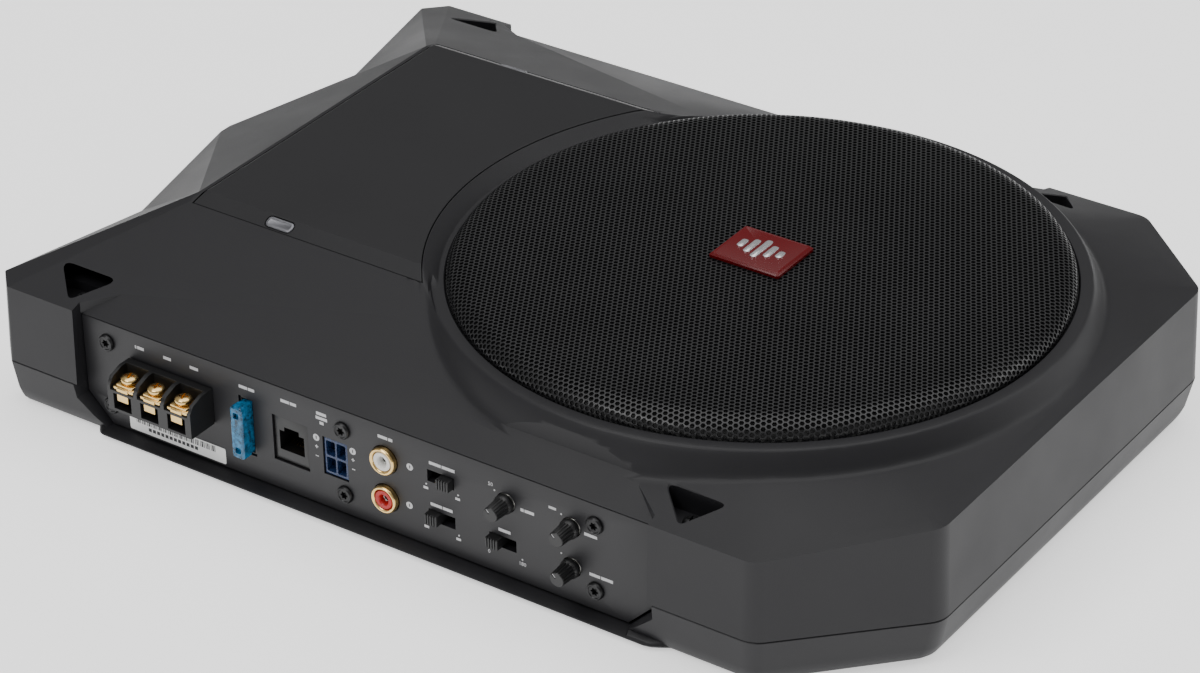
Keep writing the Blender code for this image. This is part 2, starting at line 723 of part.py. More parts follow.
def panel_outline(grow, height=0.0):
    """The panel's outline with its two lower corners cut off, as (x, z)."""
    left, right = PANEL_LEFT - grow, PANEL_RIGHT + grow
    low, high = PANEL_BOTTOM - grow, PANEL_TOP + grow + height
    cut = low + PANEL_CUT
    lower = [(left, cut), (left + PANEL_CUT, low), (right - PANEL_CUT, low), (right, cut)]
    return [(left, high), *lower, (right, high)]


def box_outline(at, size):
    return rectangle(at[0] - size[0] / 2, at[0] + size[0] / 2, at[1] - size[1] / 2, at[1] + size[1] / 2)


def slack(size):
    """A size that leaves the usual gap all round."""
    return (size[0] - 2 * GAP, size[1] - 2 * GAP)


def control_panel(paint):
    back = PANEL_FACE_Y + PANEL_THICK
    solid = prism_mesh(panel_outline(0.0), PANEL_FACE_Y, back, "Y")
    panel = finish_object("control_panel", solid, paint, (0, back, 0))
    outlines = [box_outline(FUSE_AT, FUSE_SLOT), box_outline(REMOTE_AT, REMOTE_SIZE)]
    outlines.append(box_outline(HIGH_LEVEL_AT, HIGH_LEVEL_SIZE))
    outlines += [box_outline(at, SLOT) for at in SWITCH_AT.values()]
    outlines += [circle(POT_BUSH_R, at, 24) for at in KNOB_AT.values()]
    outlines += [circle(RCA_HOLE_R, (RCA_X, z), 24) for z in RCA_Z.values()]
    outlines += [circle(0.0016, (x, z), 16) for x in SCREW_X for z in SCREW_Z]
    left, right, low, high = TERMINAL_BLOCK
    outlines.append(rectangle(left + NECK, right - NECK, low + NECK, high - NECK))
    holes = [prism_mesh(outline, PANEL_FACE_Y - 0.01, back + 0.01, "Y") for outline in outlines]
    combine(panel, "DIFFERENCE", "panel_holes", merged("holes", holes))


def panel_screws(metal):
    """Small hexagon-socket screws with rounded heads."""
    face = PANEL_FACE_Y - GAP
    profile = [(0, -0.0006), (0.0011, -0.0006), (0.0011, -0.0020), (0.0021, -0.0020), (0.0029, -0.0012)]
    profile += [(0.0031, 0), (0.0013, 0), (0.0013, 0.0070), (0, 0.0070)]
    places = [(x, z) for z in SCREW_Z for x in SCREW_X]
    for number, (x, z) in enumerate(places, 1):
        at = (x, face, z)
        finish_object(f"panel_screw_{number}", lathe_mesh(profile, at, "Y", 12), metal, at)


def terminal_block(black, gold):
    """A three-pole barrier strip: fins between the poles, a clamp and a screw in each."""
    left, right, low, high = TERMINAL_BLOCK
    face = PANEL_FACE_Y - GAP
    front = face - TERMINAL_DEPTH
    inner = face + 0.0078
    neck = NECK + GAP
    side = [(inner, low + neck), (face, low + neck), (face, low), (front, low), (front, low + 0.0092)]
    side += [(front + 0.0018, low + 0.0118), (face - 0.0052, high), (face, high)]
    side += [(face, high - neck), (inner, high - neck)]
    body = finish_object("terminal_block", prism_mesh(side, left, right, "X"), black)
    tabs = merged("tabs", [
        box_mesh((left - 0.001, face, low), (left + neck, face + 0.01, high)),
        box_mesh((right - neck, face, low), (right + 0.001, face + 0.01, high)),
    ])
    combine(body, "DIFFERENCE", "neck_ends", tabs)
    half = (TERMINAL_X[1] - TERMINAL_X[0]) / 2 - TERMINAL_FIN / 2
    floor = low + BAY_FLOOR
    bays, slots = [], []
    for x in TERMINAL_X:
        bays.append(box_mesh((x - half, front - 0.001, floor), (x + half, face - 0.0028, high + 0.002)))
        wide = half - 0.0012
        corner = (x + wide, face - 0.0040, floor - 0.0010)
        slots.append(box_mesh((x - wide, front - 0.001, low + 0.0010), corner))
    combine(body, "DIFFERENCE", "bays", merged("bays", bays))
    combine(body, "DIFFERENCE", "wire_slots", merged("slots", slots))
    screw = [(0, 0.0013), (0.0026, 0.0013), (0.0031, 0.0019), (0.0029, 0.0032), (0.0014, 0.0038)]
    screw += [(0.0009, 0.0030), (0, 0.0030)]
    for number, x in enumerate(TERMINAL_X, 1):
        at = (x, TERMINAL_SCREW_Y, floor + GAP)
        outline = rectangle(x - half + 0.0006, x + half - 0.0006, front + 0.0006, face - 0.0034)
        finish_object(f"terminal_clamp_{number}", prism_mesh(outline, at[2], at[2] + 0.0010), gold, at)
        finish_object(f"terminal_screw_{number}", lathe_mesh(screw, at, "Z", 18), gold, at)


def fuse_and_holder(blue, black):
    """A blade fuse in its holder."""
    face = PANEL_FACE_Y
    outer = box_outline(FUSE_AT, slack(FUSE_SLOT))
    holder = finish_object("fuse_holder", prism_mesh(outer, face + 0.0006, face + 0.0160, "Y"), black)
    socket = prism_mesh(box_outline(FUSE_AT, (0.0044, 0.0200)), face - 0.01, face + 0.0090, "Y")
    combine(holder, "DIFFERENCE", "fuse_socket", socket)
    blades = prism_mesh(box_outline(FUSE_AT, (0.0014, 0.0176)), face, face + 0.0140, "Y")
    combine(holder, "DIFFERENCE", "blade_slots", blades)
    x, z = FUSE_AT
    front = face - FUSE_STANDS_OUT
    body_mesh = prism_mesh(box_outline(FUSE_AT, (0.0038, 0.0192)), front + 0.0030, face + 0.0060, "Y")
    body = finish_object("fuse", body_mesh, blue, (x, front, z))
    head = prism_mesh(rounded_rectangle(0.0052, 0.0196, 0.0012, FUSE_AT, 2), front, front + 0.0034, "Y")
    combine(body, "UNION", "fuse_head", head)
    legs = []
    for side in (-1, 1):
        outline = box_outline((x, z + side * 0.0060), (0.0008, 0.0048))
        legs.append(prism_mesh(outline, face + 0.0055, face + 0.0125, "Y"))
    combine(body, "UNION", "fuse_blades", merged("legs", legs))


def remote_jack(black):
    """The modular jack for the wired remote."""
    back = PANEL_FACE_Y + SOCKET_DEPTH
    jack_mesh = prism_mesh(box_outline(REMOTE_AT, slack(REMOTE_SIZE)), PANEL_FACE_Y + 0.0012, back, "Y")
    jack = finish_object("remote_jack", jack_mesh, black)
    x, z = REMOTE_AT
    wide, narrow = 0.0050, 0.0030
    low, middle, high = z - 0.0042, z + 0.0030, z + 0.0046
    mouth = [(x - wide, low), (x + wide, low), (x + wide, middle), (x + narrow, middle)]
    mouth += [(x + narrow, high), (x - narrow, high), (x - narrow, middle), (x - wide, middle)]
    combine(jack, "DIFFERENCE", "jack_mouth", prism_mesh(mouth, PANEL_FACE_Y - 0.01, back - 0.0015, "Y"))


def high_level_socket(clear_blue):
    """The four-pole connector for speaker-level input."""
    back = PANEL_FACE_Y + SOCKET_DEPTH
    shell = prism_mesh(box_outline(HIGH_LEVEL_AT, slack(HIGH_LEVEL_SIZE)), PANEL_FACE_Y + 0.0008, back, "Y")
    header = finish_object("high_level_socket", shell, clear_blue)
    mouth = prism_mesh(box_outline(HIGH_LEVEL_AT, (0.0080, 0.0122)), PANEL_FACE_Y - 0.01, back - 0.0016, "Y")
    combine(header, "DIFFERENCE", "socket_mouth", mouth)
    x, z = HIGH_LEVEL_AT
    pins = []
    for a in (-0.0020, 0.0020):
        for b in (-0.0030, 0.0030):
            outline = box_outline((x + a, z + b), (0.0010, 0.0010))
            pins.append(prism_mesh(outline, PANEL_FACE_Y + 0.0060, back - 0.0008, "Y"))
    combine(header, "UNION", "socket_pins", merged("pins", pins))


def rca_sockets(gold, inserts):
    ring = [(0.0030, 0.0098), (0.0049, 0.0098), (0.0049, -0.0014), (0.0043, -0.0020), (0.0035, -0.0020)]
    ring.append((0.0030, -0.0015))
    plug = [(0, 0.0098), (0.0027, 0.0098), (0.0027, -0.0016), (0.0015, -0.0016)]
    plug += [(0.0015, 0.0075), (0, 0.0075)]
    for name, z in RCA_Z.items():
        at = (RCA_X, PANEL_FACE_Y, z)
        finish_object(f"rca_socket_{name}", lathe_mesh(ring, at, "Y", 20), gold, at)
        finish_object(f"rca_insert_{name}", lathe_mesh(plug, at, "Y", 12), inserts[name], at)


def knobs(black, metal):
    """Rotary controls: a slightly tapered cap with a pointer groove on a potentiometer's shaft."""
    r, length = KNOB_R, KNOB_LENGTH
    cap = [(0.0012, -0.0006), (r, -0.0006), (r, -0.0016), (r * 0.86, -0.0026), (r * 0.76, -length + 0.0003)]
    cap += [(r * 0.70, -length), (0, -length), (0, -0.0030), (0.0012, -0.0030)]
    bush = POT_BUSH_R - GAP
    pot = [(0, -0.0027), (0.0009, -0.0027), (0.0009, 0.0004), (bush, 0.0004), (bush, 0.0028)]
    pot += [(0.0048, 0.0028), (0.0048, 0.0100), (0, 0.0100)]
    for name, (x, z) in KNOB_AT.items():
        at = (x, PANEL_FACE_Y, z)
        knob = finish_object(f"{name}_knob", lathe_mesh(cap, at, "Y", 18), black, at)
        pointer = box_mesh((-0.0003, -length - 0.001, 0.0009), (0.0003, -length + 0.0005, 0.0030))
        pointer.transform(Matrix.Translation(at) @ Matrix.Rotation(math.radians(POINTER_TURN), 4, "Y"))
        combine(knob, "DIFFERENCE", "pointer", pointer)
        finish_object(f"{name}_pot", lathe_mesh(pot, at, "Y", 12), metal, at)


def switches(black, metal):
    """Slide switches: a grooved slider in the slot of its metal case behind the panel."""
    face = PANEL_FACE_Y
    case_front = face + PANEL_THICK + GAP
    for name, (x, z) in SWITCH_AT.items():
        side = 1 if name == "audio_sense" else -1
        middle = x + side * SWITCH_TRAVEL / 2
        at = (middle, face, z)
        outline = box_outline((middle, z), SLIDER)
        slider_mesh = prism_mesh(outline, face - SLIDER_STANDS_OUT, face + 0.0042, "Y")
        slider = finish_object(f"{name}_slider", slider_mesh, black, at)
        grooves = []
        for k in (-1, 0, 1):
            groove = box_outline((middle + k * 0.0011, z), (0.0005, 0.0200))
            grooves.append(prism_mesh(groove, face - 0.004, face - 0.0026, "Y"))
        combine(slider, "DIFFERENCE", "grip_grooves", merged("grooves", grooves))
        case_mesh = prism_mesh(box_outline((x, z), (0.0136, 0.0070)), case_front, case_front + 0.0056, "Y")
        case = finish_object(f"{name}_switch", case_mesh, metal)
        track = box_outline((x, z), (SLOT[0] + 0.0004, SLOT[1]))
        combine(case, "DIFFERENCE", "track", prism_mesh(track, case_front - 0.01, case_front + 0.0022, "Y"))


# Amplifier inside the case


def circuit_boards(board):
    finish_object("power_board", box_mesh((-0.1250, -0.1020, 0.0120), (-0.0580, 0.1020, Z_BOARD)), board)
    low = (-0.0560, CONTROL_BOARD_Y, 0.0080)
    high = (0.0760, CONTROL_BOARD_Y + 0.0016, 0.0420)
    finish_object("control_board", box_mesh(low, high), board)


def heat_sink(aluminium):
    on_board = Z_BOARD + GAP
    block = box_mesh((-0.1220, -0.0600, on_board), (-0.1000, 0.0600, 0.0440))
    sink = finish_object("heat_sink", block, aluminium)
    gaps = []
    for i in range(FIN_GAPS):
        y = (i - (FIN_GAPS - 1) / 2) * 0.0106
        gaps.append(box_mesh((-0.1300, y - 0.0028, 0.0190), (-0.1030, y + 0.0028, 0.0600)))
    combine(sink, "DIFFERENCE", "fin_gaps", merged("gaps", gaps))


def board_components(black, copper):
    on_board = Z_BOARD + GAP
    at = (-0.0790, 0.0300, on_board)
    coil = [(0.0100 + 0.0050 * a, 0.0052 + 0.0050 * b) for a, b in circle(1.0, steps=10)]
    finish_object("filter_coil", lathe_mesh(coil, at, "Z", 16), copper, at)
    at = (-0.0790, -0.0200, on_board)
    can = [(0, 0), (0.0090, 0), (0.0090, 0.0240), (0.0082, 0.0250), (0, 0.0250)]
    finish_object("capacitor", lathe_mesh(can, at, "Z", 20), black, at)


def main():
    clear_scene()
    charcoal = material("charcoal_plastic", (0.030, 0.030, 0.032), 0.55)
    smooth_black = material("smooth_black_plastic", (0.022, 0.022, 0.023), 0.38)
    black = material("black_plastic", (0.015, 0.015, 0.016), 0.45)
    rubber = material("black_rubber", (0.020, 0.020, 0.020), 0.85)
    silver = material("satin_silver", (0.55, 0.55, 0.57), 0.35, 1.0)
    gold = material("gold_plate", (0.80, 0.56, 0.20), 0.25, 1.0)
    paper = material("cone_paper", (0.025, 0.025, 0.025), 0.8)
    cloth = material("spider_cloth", (0.45, 0.33, 0.12), 0.9)
    copper = material("copper_wire", (0.60, 0.28, 0.14), 0.4, 1.0)
    white = material("white_plastic", (0.80, 0.80, 0.78), 0.4)
    red = material("red_plastic", (0.55, 0.02, 0.02), 0.4)

    top_housing(charcoal)
    bottom_shell(charcoal)
    feet(rubber)
    amp_cover(smooth_black)
    cover_inserts(silver)
    grille(material("black_steel", (0.020, 0.020, 0.022), 0.40, 0.6))
    badge(material("red_enamel", (0.35, 0.010, 0.012), 0.35))

    basket(material("painted_steel", (0.04, 0.04, 0.04), 0.5, 0.5))
    surround_and_gasket(rubber)
    cone_and_cap(paper)
    coil_and_spider(copper, cloth)
    motor(material("ferrite", (0.06, 0.06, 0.06), 0.6), material("zinc_plate", (0.50, 0.50, 0.48), 0.35, 1.0))

    control_panel(smooth_black)
    panel_screws(material("black_screw", (0.05, 0.05, 0.052), 0.35, 0.9))
    terminal_block(black, gold)
    fuse_and_holder(material("clear_blue", (0.05, 0.35, 0.60), 0.15), black)
    remote_jack(black)
    high_level_socket(material("smoke_blue", (0.03, 0.05, 0.12), 0.3))
    rca_sockets(gold, {"left": white, "right": red})
    knobs(black, silver)
    switches(black, silver)

    circuit_boards(material("board_green", (0.02, 0.12, 0.06), 0.5))
    heat_sink(material("aluminium", (0.60, 0.60, 0.62), 0.45, 1.0))
    board_components(black, copper)


main()
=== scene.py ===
"""Looks of the powered under-seat car subwoofer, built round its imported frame."""

import bisect
import itertools
import json
import math

import bmesh
import bpy
from mathutils import Matrix, Vector
from mathutils.geometry import delaunay_2d_cdt

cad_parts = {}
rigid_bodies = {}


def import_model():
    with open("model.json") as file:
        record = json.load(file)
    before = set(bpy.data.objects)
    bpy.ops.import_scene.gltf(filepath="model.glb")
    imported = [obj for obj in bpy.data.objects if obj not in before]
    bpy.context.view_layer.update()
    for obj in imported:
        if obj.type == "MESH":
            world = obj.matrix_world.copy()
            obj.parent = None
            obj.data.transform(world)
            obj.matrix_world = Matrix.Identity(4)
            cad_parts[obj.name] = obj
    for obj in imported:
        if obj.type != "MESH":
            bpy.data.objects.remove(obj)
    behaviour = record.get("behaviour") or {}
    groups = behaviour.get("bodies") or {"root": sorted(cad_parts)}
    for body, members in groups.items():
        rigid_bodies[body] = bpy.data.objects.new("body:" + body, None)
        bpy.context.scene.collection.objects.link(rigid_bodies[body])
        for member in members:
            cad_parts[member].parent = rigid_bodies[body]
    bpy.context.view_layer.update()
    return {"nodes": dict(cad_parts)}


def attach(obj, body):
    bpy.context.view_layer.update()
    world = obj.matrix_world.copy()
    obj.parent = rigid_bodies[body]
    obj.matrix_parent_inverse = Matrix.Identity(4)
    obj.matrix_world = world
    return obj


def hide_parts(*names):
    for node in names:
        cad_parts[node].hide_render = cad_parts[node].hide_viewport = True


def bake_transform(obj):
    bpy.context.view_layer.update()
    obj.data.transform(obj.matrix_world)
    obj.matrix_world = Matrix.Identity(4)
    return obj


for item in list(bpy.data.objects):
    bpy.data.objects.remove(item, do_unlink=True)
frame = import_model()
NODES = frame["nodes"]

# Sizes are in metres. Shapes are written round the middle of the case, and SHIFT moves them into the frame.
SHIFT = Vector((0.0, 0.0035, 0.0))
GAP = 0.0003
TINY = 1e-7
PARALLEL = 1e-12

# Case, seen from above
HALF_X = 0.1715
HALF_Y = 0.1240
DRAFT = 0.0010
WALL = 0.0025
CORNER_CUT = 0.0410
SMALL_CUT = 0.0075
WAIST_INSET = 0.0120
WAIST_Y = 0.0600
APEX_HALF = 0.0025
SIDE_ROUND = 0.0090
SMALL_ROUND = 0.0012
WAIST_ROUND = 0.0030
APEX_ROUND = 0.0010
CASE_ROUND_STEPS = 6
RIM_R = 0.0016
CREASE_R = 0.0008
RIM_SETBACK = 0.0016

# Case, levels
Z_BASE = 0.0010
Z_PARTING = 0.0181
Z_EDGE = 0.0467
Z_SIDE = 0.0515
Z_APEX = 0.0480
Z_RIM = 0.0652
Z_GROOVE = 0.0639
Z_PLATE = 0.0667
Z_POCKET = 0.0617
Z_LIP = 0.0621
Z_FOOT = 0.0545
Z_LEDGE = 0.0490
Z_CEILING = 0.0445
LEDGE = 0.0030

# Base: how far it has drawn in at each level, and how much more it does so at its two ends
BASE_LEVELS = ((0.0018, 0.0070), (0.0026, 0.0045), (0.0034, 0.0026), (0.0045, 0.0013), (0.0056, Z_BASE))
RIGHT_DRAW = 0.35
RIGHT_DRAW_FROM = 0.1300
LEFT_DRAW = 0.40
LEFT_DRAW_FROM = -0.1600

# Band under the connector panel
SILL_GAP = 0.0005
SILL_PAST = (0.0075, 0.0200)
SILL_FADE = (0.0060, 0.0120)
SILL_SETBACK = 0.0050
SILL_DEPTH = 0.0120
SILL_STEPS = (0.0, 0.2, 0.4, 0.6, 0.8, 1.0)
NOTCH_FLARE = 0.0016
NOTCH_HIGH = 0.0300

# How far the cutters run past the case
PAST_Y = 0.1400
PAST_Z = 0.0800
PAST = 0.0100

# Feet
FOOT_R = 0.0090
FOOT_SEAT = 0.0020
FOOT_EDGE = 0.0006
FOOT_DISH = 0.0004
FOOT_X = (-0.1350, 0.1270)
FOOT_Y = 0.0900
FEET = list(itertools.product(FOOT_X, (-FOOT_Y, FOOT_Y)))

# Corner pockets and the screws in them
POCKET_X = (-0.1526, -0.1299, -0.1398)
POCKET_Y = (-0.1076, -0.1199)
POCKET_SHIFT = 0.2413
POCKET_ROUND = 0.0016
POCKET_WALL = 0.0022
POCKET_CHAMFER = (0.0005, 0.0004)
Z_POCKET_FLOOR = 0.0435
CORNERS = list(itertools.product((-1, 1), (1, -1)))
CASE_SCREW = [(0, 0.0016), (0.0016, 0.0016), (0.0024, 0.0012), (0.0028, 0.0005)]
CASE_SCREW += [(0.0028, 0.0001), (0, 0.0001)]
CASE_SCREW_CROSS = ((-0.0015, -0.0003, 0.0007), (0.0015, 0.0003, 0.003))

# Cover plate and pills
PLATE_LEFT = -0.1277
PLATE_HALF_Y = 0.0639
PLATE_ARC_R = 0.1104
PLATE_BEVEL = (0.0018, 0.0012)
PLATE_ARC_STEPS = 40
GROOVE_Y = 0.0694
FLANGE_SLOPE = (Z_GROOVE - Z_EDGE) / (HALF_Y - GROOVE_Y)
INSERT_X = -0.0925
INSERT_SIZE = (0.0110, 0.0042)

# Collar round the driver
RING_X = 0.0541
RING_OUT_R = 0.1152
RING_FOOT_R = 0.1120
LIP_EDGE_R = 0.1074
LIP_STEP = (0.0004, 0.0002)
CONE_R = 0.1049
WELL_R = 0.1030
WELL_CHAMFER = 0.0004
THROAT_R = 0.0930
COLLAR_SLOPE = 1.3
COLLAR_CURVE = 150
COLLAR_BLEND = 0.0034
FOOT_BLEND = 0.0030
RING_ROWS = [0.1040, 0.1047, 0.1052, 0.1068, 0.1074, 0.1079, 0.1086, 0.1093]
RING_ROWS += [0.1099, 0.1105, 0.1111, 0.1118, 0.1126, 0.1136, 0.1152]
RING_TURNS = 180
RING_OPEN = -0.25
SIDE_ROW = 0.0045

# Rounding of the case's top
TOP_FACING = 0.3
FLAT_ANGLE = 0.6
CREASE_ANGLE = 3
CREASE_FROM_R = 0.150

# Grille
GRILLE_R = 0.1026
GRILLE_THICK = 0.0008
GRILLE_PITCH = 0.00193
GRILLE_HOLE = 0.75
GRILLE_MARGIN = 0.0024
GRILLE_FIELDS = (0.0, 0.0600, 0.0830, 1.0)
Z_GRILLE = 0.0682
Z_GRILLE_FOOT = 0.0575
SKIRT_HEIGHT = 0.0036
SHOULDER_R = 0.0090
SHOULDER_DROP = 0.0052
CROWN = 0.0006
CROWN_STEPS = 40
SHOULDER_STEPS = 24

# Badge
BADGE_SIZE = (0.0265, 0.0220, 0.0018)
BADGE_ROUND = 0.0007
BAR_LENGTHS = (0.0050, 0.0088, 0.0120, 0.0076, 0.0042)
BAR_HALF = 0.0012
BAR_PITCH = 0.0036

# Connector panel and its recess
PANEL_LEFT = -0.1351
PANEL_RIGHT = 0.0926
PANEL_TOP = 0.0436
PANEL_BOTTOM = 0.0042
PANEL_FACE_Y = -0.1200
PANEL_THICK = 0.0025
PANEL_CUT = 0.0100
FACET_Y = -0.1120
FACET_INSET = 0.0115
FACET_OVERRUN = 1.3
RECESS_DEPTH = 0.0095
RECESS_PAST = (0.0060, 0.0750)
INNER_WALL = 0.0040
CHEEK = 0.0050
CHEEK_BACK_Y = -0.1130
HOLLOW_Y = (-0.1148, 0.1170)

# Panel fittings: places and sizes are (x, z) on the panel's face
SCREW_X = (-0.1246, -0.0268, 0.0707)
SCREW_Z = (0.0118, 0.0361)
SCREW_HOLE_R = 0.0016
SCREW_HEAD = [(0, -0.0007), (0.0021, -0.0007), (0.0023, -0.0010), (0.0026, -0.0010), (0.0030, -0.0005)]
SCREW_HEAD += [(0.0031, 0.0), (0.0013, 0.0), (0.0013, 0.0070), (0, 0.0070)]
LOBE_R = (0.00125, 0.00030)
LOBES = 6
LOBE_STEPS = 4
TERMINAL_X = (-0.1091, -0.0977, -0.0863)
TERMINAL_BLOCK = (-0.1153, -0.0801, 0.0200, 0.0335)
TERMINAL_DEPTH = 0.0117
TERMINAL_TAIL = 0.0078
TERMINAL_LEDGE = 0.0018
TERMINAL_SCREW_Y = -0.1275
TERMINAL_HALF = 0.0049
TERMINAL_TURNS = (20, 110)
TERMINAL_CROSS = ((-0.0018, -0.00035, 0.0029), (0.0018, 0.00035, 0.006))
BAY_FLOOR = 0.0078
FUSE_AT = (-0.0662, 0.0239)
FUSE_SLOT = (0.0062, 0.0218)
FUSE_WELL = (0.0044, 0.0200)
FUSE_CHANNEL = (0.0014, 0.0176)
FUSE_BODY = (0.0038, 0.0190)
FUSE_HEAD = (0.0052, 0.0196)
FUSE_BLADE = (0.0008, 0.0048)
FUSE_STANDS_OUT = 0.0056
SOCKET_DEPTH = 0.0120
REMOTE_AT = (-0.0484, 0.0237)
REMOTE_SIZE = (0.0146, 0.0172)
MOUTH_HALF = (0.0050, 0.0030)
MOUTH_LEVELS = (-0.0042, 0.0030, 0.0046)
CONTACTS = 6
CONTACT_PITCH = 0.00115
CONTACT_HALF = 0.00018
HIGH_LEVEL_AT = (-0.0302, 0.0239)
HIGH_LEVEL_SIZE = (0.0100, 0.0142)
HIGH_LEVEL_PIN = (0.0021, 0.0031)
HIGH_LEVEL_CELL = (0.0036, 0.0054)
RCA_X = -0.0102
RCA_Z = {"left": 0.0309, "right": 0.0165}
RCA_HOLE_R = 0.0052
RCA_RING = [(0.0036, 0.0098), (0.0049, 0.0098), (0.0049, -0.0013), (0.0048, -0.0017), (0.0045, -0.0020)]
RCA_RING += [(0.0041, -0.0020), (0.0038, -0.0018), (0.0036, -0.0014)]
RCA_CORE = [(0, 0.0060), (0.0034, 0.0060), (0.0034, -0.0014), (0.0032, -0.0017), (0.0021, -0.0017)]
RCA_CORE += [(0.0019, -0.0015), (0.0016, -0.0010), (0.0016, 0.0045), (0, 0.0045)]
RCA_SLEEVE = [(0.00155, 0.0044), (0.00155, 0.0004), (0.00135, 0.0002), (0.00115, 0.0004), (0.00115, 0.0044)]
KNOB_AT = {"crossover": (0.0369, 0.0318), "level": (0.0616, 0.0318), "bass_boost": (0.0616, 0.0170)}
KNOB_R = 0.0034
KNOB_LENGTH = 0.0083
KNOB_RIBS = 18
RIB_STEPS = 4
RIB_DIP = 0.93
POINTER_TURN = -45
SHAFT_R = 0.0012
POT_BUSH_R = 0.0036
SWITCH_AT = {"audio_sense": (0.0118, 0.0313), "input_load": (0.0118, 0.0165), "phase": (0.0354, 0.0165)}
SWITCH_TRAVEL = 0.0050
SWITCH_SLOT = (0.0104, 0.0044)
SWITCH_CASE = (0.0136, 0.0070, 0.0056)
SLIDER_LENGTH = 0.0048
GROOVE_PITCH = 0.0010

# Prints on the panel. A word is (x, z, the widths of the bars that stand for it, their height).
TALL = 0.0011
SMALL = 0.0009
LINE = 0.00035
WORD_SPACE = 0.00035
WORDS = (
    (-0.1106, 0.0385, (0.0006, 0.0028), TALL),
    (-0.0988, 0.0385, (0.0032,), TALL),
    (-0.0875, 0.0385, (0.0035,), TALL),
    (-0.0656, 0.0384, (0.0034, 0.0026), TALL),
    (-0.0484, 0.0389, (0.0034, 0.0026), TALL),
    (-0.0351, 0.0392, (0.0040,), TALL),
    (-0.0351, 0.0375, (0.0046,), TALL),
    (-0.0351, 0.0358, (0.0016,), TALL),
    (-0.0096, 0.0392, (0.0038, 0.0016), TALL),
    (0.0125, 0.0363, (0.0046, 0.0050), TALL),
    (0.0118, 0.0208, (0.0044, 0.0038), TALL),
    (0.0452, 0.0315, (0.0012, 0.0036), TALL),
    (0.0362, 0.0210, (0.0046,), TALL),
    (0.0690, 0.0315, (0.0048,), TALL),
    (0.0727, 0.0172, (0.0040, 0.0044), TALL),
    (0.0548, 0.0365, (0.0028,), SMALL),
)
SWITCH_ENDS = ((0.0059, 0.0263), (0.0183, 0.0264), (0.0056, 0.0114), (0.0181, 0.0111))
DISCS = ((-0.0230, 0.0295), (-0.0377, 0.0296), (-0.0002, 0.0318), (-0.0010, 0.0170))
DISC_R = 0.00125
DOTS = ((0.0328, 0.0351), (0.0581, 0.0355), (0.0578, 0.0209), (0.0300, 0.0128), (0.0428, 0.0127))
DOT_R = 0.00032
SIGN_X = (-0.0230, -0.0377)
PLUS_Z = 0.0262
MINUS_Z = 0.0226
SIGN_LENGTH = 0.0012
NUMERALS = (("50", 0.0313, 0.0368), ("0", 0.0300, 0.0111), ("180", 0.0428, 0.0110))
NUMERAL_SIZE = 0.0019
STICKER_EDGES = (-0.1175, -0.0765, 0.0052, 0.0112)
CODE_BARS = (0.00022, 0.00045, 0.00030, 0.00065)
CODE_SPACES = (0.00035, 0.00055, 0.00030)
CODE_DIGITS = 12

# Driver
ROLL_MIDDLE = 0.0800
ROLL_R = 0.0078
ROLL_HEIGHT = 0.92
ROLL_ENDS = (0.0720, 0.0880)
Z_REST = Z_LEDGE + LEDGE + GAP + 0.0014 + GAP
Z_SPIDER = 0.0350
SPIDER_ENDS = (0.0197, 0.0505)
SPIDER_FOLDS = 5
SPIDER_FOLD_STEPS = 8
SPIDER_WAVE = 0.0009
SPIDER_THICK = 0.0006

# Studio and camera
FLOOR_Z = -0.0001
FLOOR_HALF = 4
FLOOR_GLOW = 0.85
SKY = 0.32
AZIMUTH = 35.01
ELEVATION = 31.35
ROLL = -0.93
TARGET = (-0.0110, 0.0009, 0.0146)
DISTANCE = 1.3325
SENSOR_MM = 36.0
LENS_MM = 117.6


# Mesh tools


def mesh_from(points, faces):
    mesh = bpy.data.meshes.new("made")
    mesh.from_pydata([tuple(p) for p in points], [], faces)
    form = bmesh.new()
    form.from_mesh(mesh)
    bmesh.ops.recalc_face_normals(form, faces=form.faces)
    form.to_mesh(mesh)
    form.free()
    return mesh


def merged(meshes):
    form = bmesh.new()
    for each in meshes:
        form.from_mesh(each)
    mesh = bpy.data.meshes.new("merged")
    form.to_mesh(mesh)
    form.free()
    return mesh


def box_mesh(low, high):
    points = list(itertools.product(*zip(low, high)))
    faces = [(0, 1, 3, 2), (4, 6, 7, 5), (0, 4, 5, 1), (2, 3, 7, 6), (0, 2, 6, 4), (1, 5, 7, 3)]
    return mesh_from(points, faces)


def loft_mesh(rings):
    """Skin through rings of equal length, capped at both ends."""
    count = len(rings[0])
    points = [p for ring in rings for p in ring]
    faces = []
    for k in range(len(rings) - 1):
        for i in range(count):
            j = (i + 1) % count
            faces.append((k * count + i, k * count + j, (k + 1) * count + j, (k + 1) * count + i))
    faces.append(tuple(range(count)))
    faces.append(tuple(range((len(rings) - 1) * count, len(rings) * count)))
    return mesh_from(points, faces)


PLACE = {
    "Z": lambda a, b, c: (a, b, c),
    "Y": lambda a, b, c: (a, c, b),
    "X": lambda a, b, c: (c, a, b),
}


def prism_mesh(outline, start, end, axis="Z"):
    place = PLACE[axis]
    return loft_mesh([[place(a, b, level) for a, b in outline] for level in (start, end)])


def soft_prism(outline, start, end, radius, steps, axis="Z"):
    """A prism whose end has a rounded edge. The outline runs anticlockwise."""
    place = PLACE[axis]
    sign = 1 if end > start else -1
    turns = [math.radians(90 * i / steps) for i in range(steps + 1)]
    levels = [(0.0, start)]
    levels += [(radius * (1 - math.cos(a)), end - sign * radius * (1 - math.sin(a))) for a in turns]
    return loft_mesh([[place(a, b, level) for a, b in inset(outline, d)] for d, level in levels])


